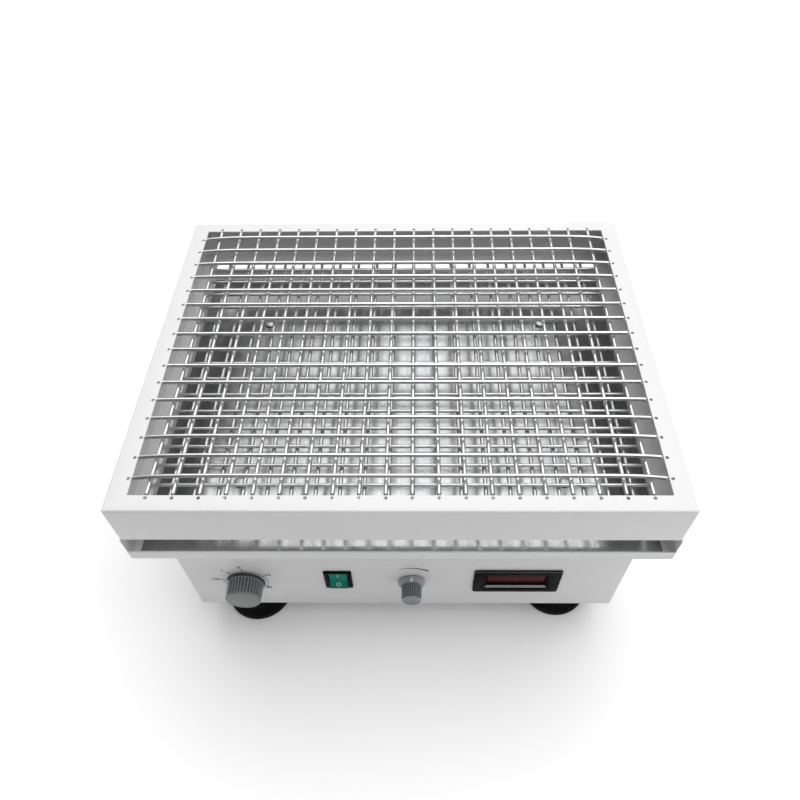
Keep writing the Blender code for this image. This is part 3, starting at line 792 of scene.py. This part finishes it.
ic, fc = mid("power_inlet"), mid("fuse_holder")
REAR = chi.y
add_box(cuts, (ic.x - 0.014, ic.x + 0.014), (REAR - 0.01, REAR + 0.01),
        (ic.z - 0.011, ic.z + 0.011))
bmesh.ops.create_cone(cuts, cap_ends=True, segments=32, radius1=6.4 * MM, radius2=6.4 * MM,
                      depth=0.02, matrix=Matrix.Translation((fc.x, REAR, fc.z)) @ turn_y)
turn_x = Matrix.Rotation(math.radians(90), 4, "Y")
for node in ("shell_screw_left_front", "shell_screw_left_rear", "shell_screw_right_front",
             "shell_screw_right_rear"):
    c = mid(node)
    bmesh.ops.create_cone(cuts, cap_ends=True, segments=24, radius1=2.0 * MM,
                          radius2=2.0 * MM, depth=0.02,
                          matrix=Matrix.Translation((chi.x if c.x > 0 else clo.x, c.y, c.z)) @ turn_x)
boolean(shell, obj_from(cuts, "cut_shell_all"))
place(shell, "base", ["cabinet_shell"])

# Shell screws: small pan heads with a cross recess.
for side, sx in (("left", -1), ("right", 1)):
    for end in ("front", "rear"):
        node = "shell_screw_%s_%s" % (side, end)
        lo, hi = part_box(node)
        c = (lo + hi) / 2
        r = (hi.z - lo.z) / 2
        out = abs(hi.x) if sx > 0 else abs(lo.x)
        tip = abs(lo.x) if sx > 0 else abs(hi.x)
        wall = chi.x if sx > 0 else -clo.x

        def to_side(p, sx=sx):
            return Vector((sx * p[2], p[0], p[1]))

        bm = bmesh.new()
        revolve(bm, [(0, out), (r * 0.4, out - 0.06 * MM), (r * 0.75, out - 0.45 * MM),
                     (r * 0.95, out - 1.0 * MM), (r, out - 1.5 * MM), (r, wall + 0.35 * MM),
                     (1.6 * MM, wall + 0.35 * MM), (1.6 * MM, tip + 0.5 * MM),
                     (1.0 * MM, tip), (0, tip)], 32, (0, c.y, c.z), to_side)
        screw = obj_from(bm, "side_screw_%s_%s" % (side, end), ZINC)
        bm = bmesh.new()
        for a, b in ((2.0, 0.45), (0.45, 2.0)):
            add_box(bm, sorted((sx * (out - 1.1 * MM), sx * (out + 3 * MM))),
                    (c.y - a * MM, c.y + a * MM), (c.z - b * MM, c.z + b * MM))
        boolean(screw, obj_from(bm, "cut_cross"))
        place(screw, "base", [node])

# Rubber feet: ribbed side, wide lip and a recess for a screw.
for end in ("front", "rear"):
    for side in ("left", "right"):
        node = "foot_%s_%s" % (end, side)
        lo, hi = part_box(node)
        c = (lo + hi) / 2
        top = hi.z
        prof = [(26.0, top / MM), (26.7, 36.0), (27.3, 33.0), (27.3, 32.0), (26.5, 31.4),
                (26.6, 30.4), (27.5, 29.8), (27.6, 26.2), (26.8, 25.6), (26.9, 24.6),
                (27.9, 24.0), (28.1, 20.0), (28.6, 16.5), (30.4, 13.4), (31.9, 10.8),
                (32.5, 8.2), (32.5, 3.4), (32.1, 1.6), (30.9, 0.5), (30.2, 0.0),
                (26.0, 0.0), (25.2, 0.8), (22.8, 0.8), (22.0, 0.0), (13.2, 0.0),
                (11.4, 0.6), (9.4, 3.0), (9.0, 4.0), (9.0, 18.0), (4.2, 18.0),
                (4.2, top / MM)]
        bm = bmesh.new()
        rings = revolve(bm, [(a * MM, b * MM) for a, b in prof], 72, (c.x, c.y, 0))
        close_loop(bm, rings, 72)
        foot = obj_from(bm, "rubber_" + node, RUBBER, 40)
        place(foot, "base", [node])

# ------------------------------------------------------------------- panel
def fluted(count, depth, low, high):
    """A radius that is fluted between two heights and round elsewhere."""
    def radius(r, h, a):
        if low < h < high:
            return r - depth * (0.5 - 0.5 * math.cos(count * a)) ** 1.7
        return r
    return radius


tlo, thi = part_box("timer_knob")
bm = bmesh.new()
KN = 34
prof = [(0, 20.1), (12.2, 20.1), (12.6, 19.95), (13.0, 20.1), (14.5, 20.1), (15.3, 19.8),
        (15.9, 19.2), (16.0, 18.7), (16.02, 18.4), (16.05, 17.8), (16.45, 4.2), (16.5, 3.6),
        (16.45, 2.9), (15.4, 2.6), (15.2, 2.1), (15.4, 1.6), (17.5, 1.5), (17.7, 1.3),
        (17.7, 0.7), (17.5, 0.5), (3.0, 0.5), (3.0, -12.0), (0, -12.0)]
revolve(bm, [(a * MM, b * MM) for a, b in prof], KN * 8,
        (tc.x, FACE, tc.z), along_minus_y,
        fluted(KN, 1.3 * MM, 3.5 * MM, 18.0 * MM))
knob = obj_from(bm, "timer_knob_grip", GREY, 40)
for extra in (GREY_FACE_SHADE, GROOVE_SHADE):
    knob.data.materials.append(extra)


def shade_groove_faces(knob, c, low, high, limit):
    """Faces between two heights that lie below the ridges take the darker groove colour: painted shade in the
    grooves.
    """
    for poly in knob.data.polygons:
        out = (FACE - poly.center.y) / MM
        if low < out < high:
            r = math.hypot(poly.center.x - c.x, poly.center.z - c.z) / MM
            if r < limit(out):
                poly.material_index = 2


# The timer knob's front face takes the darker face plastic: painted shade.
for poly in knob.data.polygons:
    if poly.center.y < FACE - 19.5 * MM:
        poly.material_index = 1
    # The base ring below 2.4 mm takes the groove colour: painted shade.
    elif poly.center.y > FACE - 2.4 * MM:
        poly.material_index = 2
shade_groove_faces(knob, tc, 3.3, 18.2, lambda h: 16.55 - 0.034 * h - 0.55)
place(knob, "timer_knob", ["timer_knob"])


def polar(c, r, deg, out):
    """A point on the panel: angle clockwise from the top, as seen from the front."""
    a = math.radians(deg)
    return Vector((c.x + r * math.sin(a), FACE - out, c.z + r * math.cos(a)))


def strip(bm, c, r0, r1, deg, half, out0, out1):
    """A bar along a radius of a dial, standing from out0 to out1."""
    a = math.radians(deg)
    radial = Vector((math.sin(a), 0, math.cos(a)))
    across = Vector((math.cos(a), 0, -math.sin(a)))
    vs = []
    for r in (r0, r1):
        for w in (-half, half):
            for o in (out0, out1):
                vs.append(bm.verts.new(
                    Vector((c.x, FACE - o, c.z)) + radial * r + across * w))
    for q in ((0, 1, 3, 2), (4, 6, 7, 5), (0, 4, 5, 1), (2, 3, 7, 6), (0, 2, 6, 4),
              (1, 5, 7, 3)):
        bm.faces.new([vs[i] for i in q])


POINT = -62.0
bm = bmesh.new()
strip(bm, tc, 15.4 * MM, 17.3 * MM, POINT, 0.6 * MM, 3.4 * MM, 18.6 * MM)
line = obj_from(bm, "timer_knob_pointer", WHITE_PRINT)
place(line, "timer_knob")

bm = bmesh.new()
KS = 26
prof = [(0, 20.1), (5.6, 20.1), (6.4, 20.3), (7.9, 20.3), (8.6, 20.0), (8.95, 19.5),
        (9.0, 19.0), (9.05, 18.4), (9.45, 6.0), (9.55, 5.6), (9.7, 5.1), (10.6, 4.7), (11.6, 3.9), (12.5, 2.7),
        (12.8, 2.0), (12.8, 0.9), (12.5, 0.5), (3.0, 0.5), (3.0, -7.5), (0, -7.5)]
revolve(bm, [(a * MM, b * MM) for a, b in prof], KS * 8, (sc.x, FACE, sc.z),
        along_minus_y, fluted(KS, 0.95 * MM, 5.7 * MM, 18.6 * MM))
knob = obj_from(bm, "speed_knob_grip", BLUE_GREY, 40)
for extra in (SKIRT_HIGHLIGHT, GROOVE_SHADE):
    knob.data.materials.append(extra)
# The skirt and the front face's rounded rim take the lighter plastic: painted highlight.
for poly in knob.data.polygons:
    out = (FACE - poly.center.y) / MM
    r = math.hypot(poly.center.x - sc.x, poly.center.z - sc.z) / MM
    if out < 5.2 or (out > 19.3 and r > 7.8):
        poly.material_index = 1
shade_groove_faces(knob, sc, 5.6, 18.7, lambda h: 9.6 - 0.032 * h - 0.38)
place(knob, "speed_knob", ["speed_knob"])
# Pointer: a white wedge that follows the skirt's slope.
bm = bmesh.new()
rows = [(12.75, 2.05, 0.3), (12.3, 3.0, 0.9), (11.6, 3.95, 1.3), (10.6, 4.78, 1.6),
        (9.9, 5.12, 1.75)]
left, right = [], []
for r, h, w in rows:
    for lst, s in ((left, -1), (right, 1)):
        lst.append([bm.verts.new(Vector((sc.x + s * w * MM, FACE - (h + o) * MM,
                                         sc.z + (r + o * 0.5) * MM))) for o in (-0.15, 0.18)])
for i in range(len(rows) - 1):
    for o in (0, 1):
        bm.faces.new((left[i][o], right[i][o], right[i + 1][o], left[i + 1][o]))
    for lst in (left, right):
        bm.faces.new((lst[i][0], lst[i][1], lst[i + 1][1], lst[i + 1][0]))
for i in (0, -1):
    bm.faces.new((left[i][0], right[i][0], right[i][1], left[i][1]))
place(obj_from(bm, "speed_knob_pointer", WHITE_PRINT), "speed_knob")

# Printed marks on the panel: dial ticks and numbers, and a tapered speed arc.
bm = bmesh.new()
INK0, INK1 = 0.02 * MM, 0.07 * MM
for deg in (0, 61.3, 122, 175, 227, 278.2, 319.5):
    strip(bm, tc, 19.2 * MM, 23.0 * MM, deg, 0.55 * MM, INK0, INK1)
for k in range(1, 27):
    deg = 0 + k * (278 / 26.0)
    if all(abs(deg - d) > 4 for d in (61.3, 122, 175, 227, 278.2)):
        strip(bm, tc, 19.2 * MM, 21.2 * MM, deg, 0.38 * MM, INK0, INK1)
steps = 28
inner, outer = [], []
for k in range(steps + 1):
    t = k / steps
    deg = -27 + 63 * t
    w = 0.35 + 1.9 * t ** 1.3
    r = 26.0 - 0.3 * t
    inner.append([bm.verts.new(polar(sc, (r - w / 2) * MM, deg, o)) for o in (INK0, INK1)])
    outer.append([bm.verts.new(polar(sc, (r + w / 2) * MM, deg, o)) for o in (INK0, INK1)])
for k in range(steps):
    for o in (0, 1):
        bm.faces.new((inner[k][o], inner[k + 1][o], outer[k + 1][o], outer[k][o]))
    for lst in (inner, outer):
        bm.faces.new((lst[k][0], lst[k][1], lst[k + 1][1], lst[k + 1][0]))
for k in (0, -1):
    bm.faces.new((inner[k][0], outer[k][0], outer[k][1], inner[k][1]))
ticks = obj_from(bm, "panel_marks", INK, 0)
place(ticks, "base")


def lettering(name, items, mat, body):
    """Numbers and plain symbols as thin raised print. items: text, x, z, size, out, tilt."""
    bm = bmesh.new()
    for text, x, z, size, out, tilt in items:
        c = bpy.data.curves.new(name, "FONT")
        c.body = text
        c.size = size
        c.align_x, c.align_y = "CENTER", "CENTER"
        c.extrude = 0.025 * MM
        c.offset = 0.10 * MM
        c.resolution_u = 3
        t = bpy.data.objects.new(name, c)
        bpy.context.scene.collection.objects.link(t)
        bpy.context.view_layer.update()
        me = bpy.data.meshes.new_from_object(
            t.evaluated_get(bpy.context.evaluated_depsgraph_get()))
        me.transform(Matrix.Translation((x, FACE - out, z))
                     @ Matrix.Rotation(tilt, 4, "X")
                     @ Matrix.Rotation(math.radians(90), 4, "X"))
        bm.from_mesh(me)
        bpy.data.meshes.remove(me)
        bpy.data.objects.remove(t)
        bpy.data.curves.remove(c)
    bmesh.ops.remove_doubles(bm, verts=bm.verts, dist=1e-7)
    o = obj_from(bm, name, mat, 0)
    return place(o, body)


items = []
for text, deg, r in (("15", 61.3, 25.4), ("30", 124, 23.2), ("60", 175, 24.6),
                     ("90", 227, 25.0), ("120", 278.2, 27.9), ("I", 319.5, 28.0),
                     ("0", 356.7, 26.8)):
    p = polar(tc, r * MM, deg, 0)
    items.append((text, p.x, p.z, 5.2 * MM, 0.045 * MM, 0.0))
lettering("dial_numbers", items, INK, "base")

# Rocker switch.
rlo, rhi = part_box("rocker_housing")
bm = bmesh.new()
add_box(bm, (rc_.x - 12.75 * MM, rc_.x + 12.75 * MM), (FACE - 2.0 * MM, FACE - 0.3 * MM),
        (rc_.z - 15.5 * MM, rc_.z + 15.5 * MM), 1.2 * MM, 4, "y")
front = [e for e in bm.edges if all(abs(v.co.y - (FACE - 2.0 * MM)) < 1e-6 for v in e.verts)]
bmesh.ops.bevel(bm, geom=front, offset=0.7 * MM, segments=3, affect="EDGES", profile=0.5)
housing = obj_from(bm, "rocker_frame", BLACK)
boolean(housing, box_piece("add_case", (rc_.x - 10.6 * MM, rc_.x + 10.6 * MM),
                           (FACE - 1.0 * MM, FACE + 24 * MM),
                           (rc_.z - 13.8 * MM, rc_.z + 13.8 * MM), bevel=0.5 * MM), "UNION")
boolean(housing, box_piece("cut_well", (rc_.x - 8.9 * MM, rc_.x + 8.9 * MM),
                           (FACE - 10 * MM, FACE + 12 * MM),
                           (rc_.z - 12.9 * MM, rc_.z + 12.9 * MM), bevel=0.5 * MM,
                           segments=2, edges="y"))
place(housing, "base", ["rocker_housing"])

PIVOT = Vector((rc_.x, FACE + 1.6 * MM, rc_.z))
ROCK = math.radians(9.0)
prof = [(-12.0, 1.6), (-12.0, 4.0), (-11.6, 4.42), (-11.2, 4.33), (-1.2, 2.62), (0.0, 2.52),
        (1.2, 2.62), (11.2, 4.33), (11.6, 4.42), (12.0, 4.0), (12.0, 1.6), (5.0, -5.0),
        (-5.0, -5.0)]
bm = bmesh.new()
ends = []
for x, k in ((-8.4, 0.90), (-8.05, 1.0), (8.05, 1.0), (8.4, 0.90)):
    row = []
    for h, o in prof:
        hh = h if abs(h) < 11.9 else math.copysign(12.0 - (1 - k) * 3, h)
        oo = o - (1 - k) * 3.4 if o > 1.7 else o
        row.append(bm.verts.new(Vector((x * MM, -oo * MM, hh * MM))))
    ends.append(row)
n = len(prof)
for a, b in zip(ends, ends[1:]):
    for i in range(n):
        j = (i + 1) % n
        bm.faces.new((a[i], a[j], b[j], b[i]))
bm.faces.new(ends[0])
bm.faces.new(ends[-1][::-1])
bmesh.ops.transform(bm, matrix=Matrix.Translation(PIVOT) @ Matrix.Rotation(-ROCK, 4, "X"),
                    verts=bm.verts)
button = obj_from(bm, "rocker_key", GREEN, 30)
place(button, "rocker_button", ["rocker_button"])
# Marks on the key: a bar on the pressed half and a ring on the raised half.
bm = bmesh.new()


def key_point(x, h, lift):
    """On the key's face: x across, h up the key, lift above its surface."""
    out = 2.52 + abs(h) * (4.33 - 2.52) / 11.2 + lift
    p = Vector((x * MM, -out * MM, h * MM))
    return PIVOT + Matrix.Rotation(-ROCK, 3, "X") @ p


vs = [[bm.verts.new(key_point(x, h, l)) for x, h in ((-0.35, 4.6), (0.35, 4.6), (0.35, 8.2),
                                                      (-0.35, 8.2))] for l in (-0.05, 0.1)]
bm.faces.new(vs[0][::-1])
bm.faces.new(vs[1])
for i in range(4):
    j = (i + 1) % 4
    bm.faces.new((vs[0][i], vs[0][j], vs[1][j], vs[1][i]))
ring_n = 32
loops = []
for rad in (2.2, 1.75):
    for l in (-0.05, 0.1):
        loops.append([bm.verts.new(key_point(rad * math.cos(math.tau * i / ring_n),
                                             -6.4 + rad * math.sin(math.tau * i / ring_n), l))
                      for i in range(ring_n)])
for a, b in ((0, 1), (1, 3), (3, 2), (2, 0)):
    for i in range(ring_n):
        j = (i + 1) % ring_n
        bm.faces.new((loops[a][i], loops[a][j], loops[b][j], loops[b][i]))
place(obj_from(bm, "rocker_key_marks", WHITE_PRINT), "rocker_button")

# Panel meter.
bm = bmesh.new()
add_box(bm, (mc.x - 40 * MM, mc.x + 40 * MM), (FACE - 2.3 * MM, FACE - 0.3 * MM),
        (mc.z - 20 * MM, mc.z + 20 * MM), 2.4 * MM, 5, "y")
front = [e for e in bm.edges if all(abs(v.co.y - (FACE - 2.3 * MM)) < 1e-6 for v in e.verts)]
bmesh.ops.bevel(bm, geom=front, offset=1.0 * MM, segments=4, affect="EDGES", profile=0.5)
bezel = obj_from(bm, "meter_frame", BLACK)
boolean(bezel, box_piece("add_meter", (mc.x - 37 * MM, mc.x + 37 * MM),
                         (FACE - 1.2 * MM, FACE + 38 * MM),
                         (mc.z - 17.2 * MM, mc.z + 17.2 * MM), bevel=0.6 * MM), "UNION")
bm = bmesh.new()
add_box(bm, (-1, 1), (-1, 1), (-1, 1))
for v in bm.verts:
    near = v.co.y < 0
    hx, hz = (31.5, 14.6) if near else (27.2, 9.8)
    v.co = Vector((mc.x + math.copysign(hx, v.co.x) * MM,
                   FACE - 3.3 * MM if near else FACE + 1.2 * MM,
                   mc.z + math.copysign(hz, v.co.z) * MM))
slant = [e for e in bm.edges if abs((e.verts[0].co - e.verts[1].co).normalized().y) > 0.3]
bmesh.ops.bevel(bm, geom=slant, offset=0.8 * MM, segments=3, affect="EDGES", profile=0.5)
boolean(bezel, obj_from(bm, "cut_slope"))
boolean(bezel, box_piece("cut_seat", (mc.x - 27.2 * MM, mc.x + 27.2 * MM),
                         (FACE + 0.6 * MM, FACE + 4.2 * MM),
                         (mc.z - 9.8 * MM, mc.z + 9.8 * MM)))
# The upper front bevel of the bezel takes the grey: a painted highlight line.
bezel.data.materials.append(EDGE_HIGHLIGHT)
for poly in bezel.data.polygons:
    n_, c_ = poly.normal, poly.center
    if c_.z > mc.z + 18.9 * MM and n_.z > 0.25 and n_.y < -0.25 and c_.y < FACE:
        poly.material_index = 1
place(bezel, "base", ["meter_bezel"])
# A thin light strip on the bezel's lower slope: a painted reflection.
bm = bmesh.new()
reflection_strip = []
for x, o, z in ((-30.6, 2.05, -14.0), (30.6, 2.05, -14.0), (27.4, -0.35, -10.6),
                (-27.4, -0.35, -10.6)):
    reflection_strip.append([bm.verts.new((mc.x + x * MM, FACE - (o + k) * MM,
                                mc.z + (z + k * 0.8) * MM)) for k in (-0.1, 0.22)])
for k in (0, 1):
    bm.faces.new([v[k] for v in reflection_strip])
for i in range(4):
    j = (i + 1) % 4
    bm.faces.new((reflection_strip[i][0], reflection_strip[j][0], reflection_strip[j][1], reflection_strip[i][1]))
bmesh.ops.bevel(bm, geom=bm.edges[:], offset=0.06 * MM, segments=2, affect="EDGES")
place(obj_from(bm, "meter_slope_painted_reflection", LEDGE_REFLECTION), "base")
wlo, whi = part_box("meter_window")
window = box_piece("display_window", (wlo.x, whi.x), (wlo.y, whi.y), (wlo.z, whi.z), WINDOW,
                   0.3 * MM, 2)
place(window, "base", ["meter_window"])
# Unlit seven-segment digits, barely darker than the window.
bm = bmesh.new()
wc = (wlo + whi) / 2
for k in range(4):
    ox = wc.x + (k - 1.5) * 11.6 * MM
    w, h, t = 3.1 * MM, 5.6 * MM, 0.62 * MM
    for dx, dz, hx, hz in ((0, h, w - t, t), (0, 0, w - t, t), (0, -h, w - t, t),
                           (-w, h / 2, t, h / 2 - t), (w, h / 2, t, h / 2 - t),
                           (-w, -h / 2, t, h / 2 - t), (w, -h / 2, t, h / 2 - t)):
        add_box(bm, (ox + dx - hx, ox + dx + hx), (wlo.y - 0.05 * MM, wlo.y + 0.1 * MM),
                (wc.z + dz - hz, wc.z + dz + hz))
place(obj_from(bm, "display_digits", SEGMENT), "base")

# --------------------------------------------------------------- rear panel
ilo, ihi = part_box("power_inlet")
bm = bmesh.new()
add_box(bm, (ilo.x, ihi.x), (REAR + 0.3 * MM, ihi.y), (ilo.z, ihi.z), 2.5 * MM, 4, "y")
front = [e for e in bm.edges if all(abs(v.co.y - ihi.y) < 1e-6 for v in e.verts)]
bmesh.ops.bevel(bm, geom=front, offset=0.7 * MM, segments=3, affect="EDGES", profile=0.5)
inlet = obj_from(bm, "inlet_body", BLACK)
boolean(inlet, box_piece("add_inlet", (ic.x - 13.5 * MM, ic.x + 13.5 * MM),
                         (ilo.y, REAR + 1.2 * MM), (ic.z - 10.5 * MM, ic.z + 10.5 * MM),
                         bevel=0.5 * MM), "UNION")
bm = bmesh.new()
outline = [(-11, -8), (11, -8), (11, 3.5), (6.5, 8), (-6.5, 8), (-11, 3.5)]
a = [bm.verts.new((ic.x + x * MM, REAR - 16 * MM, ic.z + z * MM)) for x, z in outline]
b = [bm.verts.new((ic.x + x * MM, REAR + 8 * MM, ic.z + z * MM)) for x, z in outline]
bm.faces.new(a)
bm.faces.new(b[::-1])
for i in range(6):
    j = (i + 1) % 6
    bm.faces.new((a[i], b[i], b[j], a[j]))
boolean(inlet, obj_from(bm, "cut_socket"))
place(inlet, "base", ["power_inlet"])
bm = bmesh.new()
for x, z in ((0, 2.4), (-6.8, -2.2), (6.8, -2.2)):
    add_box(bm, (ic.x + (x - 0.9) * MM, ic.x + (x + 0.9) * MM), (REAR - 16.6 * MM, REAR - 2 * MM),
            (ic.z + (z - 2.1) * MM, ic.z + (z + 2.1) * MM), 0.5 * MM, 2, "y")
place(obj_from(bm, "inlet_pins", ZINC), "base")

zlo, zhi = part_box("fuse_holder")


def along_plus_y(p):
    return Vector((-p[0], p[2], p[1]))


bm = bmesh.new()
prof = [(0, zhi.y), (5.6 * MM, zhi.y), (6.4 * MM, zhi.y - 0.2 * MM), (6.8 * MM, zhi.y - 0.8 * MM),
        (6.8 * MM, REAR + 1.5 * MM), (7.9 * MM, REAR + 1.3 * MM), (8.0 * MM, REAR + 0.9 * MM),
        (8.0 * MM, REAR + 0.3 * MM), (6.0 * MM, REAR + 0.3 * MM), (6.0 * MM, zlo.y), (0, zlo.y)]
revolve(bm, prof, 64, (fc.x, 0, fc.z), along_plus_y)
fuse = obj_from(bm, "fuse_cap", BLACK)
boolean(fuse, box_piece("cut_slot", (fc.x - 5 * MM, fc.x + 5 * MM), (zhi.y - 1.2 * MM, zhi.y + 5 * MM),
                        (fc.z - 0.6 * MM, fc.z + 0.6 * MM)))
place(fuse, "base", ["fuse_holder"])

# -------------------------------------------- carried-over CAD nodes' finish
REPLACED = {n for o in bpy.context.scene.objects for n in list(o.get("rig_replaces", []))}
FINISH = {
    "main_crank": ZINC, "motor_shaft": ZINC, "drive_plate": ZINC, "base_plate": ZINC,
    "potentiometer": ZINC, "main_bearing_housing": CASTING, "counterweight": CASTING,
    "motor": CASTING, "tray_hub": ALU, "main_pulley": ALU, "motor_pulley": ALU,
    "timer_body": BLACK, "control_board": BOARD, "drive_belt": RUBBER,
}
for node in sorted(NODES):
    if node in REPLACED:
        continue
    mat = FINISH.get(node)
    if mat is None:
        mat = (CASTING if node.startswith("idler_housing")
               else ALU if node.startswith(("corner_bearing", "pillar")) else ZINC)
    dress_cad(node, mat, 0.0 if node in ("drive_belt",) else 0.0003)

# ------------------------------------------------------------ floor, lights
bm = bmesh.new()
bmesh.ops.create_grid(bm, x_segments=1, y_segments=1, size=6.0)
ground = obj_from(bm, "ground", None, 0)
m = Mat("pale_floor", 0.9)
m.colour(m.noise(2.0), [(0.3, (0.93, 0.93, 0.93)), (0.7, (0.95, 0.95, 0.95))])
m.sh.inputs["Specular IOR Level"].default_value = 0.1
far = m.nt.nodes.new("ShaderNodeVectorMath")
far.operation = "LENGTH"
links(m.nt, m.co.outputs["Object"], far.inputs[0])
glow = m.remap(far.outputs["Value"], 0.15, 0.45, 0.32, 1.2)
m.sh.inputs["Emission Color"].default_value = (1, 1, 1, 1)
links(m.nt, glow, m.sh.inputs["Emission Strength"])
ground.data.materials.append(m.m)
ground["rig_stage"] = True

world = bpy.data.worlds.new("studio")
bpy.context.scene.world = world
world.use_nodes = True
nt = world.node_tree
bg = nt.nodes["Background"]
co = nt.nodes.new("ShaderNodeTexCoord")
sep = nt.nodes.new("ShaderNodeSeparateXYZ")
nt.links.new(co.outputs["Generated"], sep.inputs["Vector"])


def sky(stops):
    node = nt.nodes.new("ShaderNodeValToRGB")
    el = node.color_ramp.elements
    while len(el) < len(stops):
        el.new(0.5)
    for e, (pos, v) in zip(el, stops):
        e.position = pos
        e.color = (v, v, v, 1)
    nt.links.new(sep.outputs["Z"], node.inputs["Fac"])
    return node.outputs["Color"]


rear_sky = sky([(0.0, 1.0), (0.30, 0.9), (0.55, 0.78), (1.0, 0.60)])
front_sky = sky([(0.0, 0.03), (0.5, 0.04), (1.0, 0.36)])
side_of = nt.nodes.new("ShaderNodeMapRange")
side_of.inputs["From Min"].default_value = 0.15
side_of.inputs["From Max"].default_value = 0.55
nt.links.new(sep.outputs["Y"], side_of.inputs["Value"])
mix = nt.nodes.new("ShaderNodeMix")
mix.data_type = "RGBA"
nt.links.new(side_of.outputs["Result"], mix.inputs["Factor"])
nt.links.new(front_sky, mix.inputs[6])
nt.links.new(rear_sky, mix.inputs[7])
nt.links.new(mix.outputs[2], bg.inputs["Color"])
bg.inputs["Strength"].default_value = 1.0


def area(name, at, target, size, power):
    data = bpy.data.lights.new(name, "AREA")
    data.shape = "RECTANGLE"
    data.size, data.size_y = size
    data.energy = power
    o = bpy.data.objects.new(name, data)
    bpy.context.scene.collection.objects.link(o)
    o.location = at
    o.rotation_mode = "QUATERNION"
    o.rotation_quaternion = (Vector(at) - Vector(target)).to_track_quat("Z", "Y")
    return o


area("overhead", (0.36, 0.40, 2.1), (0.05, 0.15, 0.15), (3.6, 2.4), 59.5)
area("right_box", (2.0, -0.9, 1.1), (0, 0, 0.15), (1.2, 1.2), 3.2)

vs_ = bpy.context.scene.view_settings
vs_.view_transform = "Standard"
vs_.look = "None"
vs_.exposure = 0.0
vs_.gamma = 1.0

lo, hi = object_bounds()
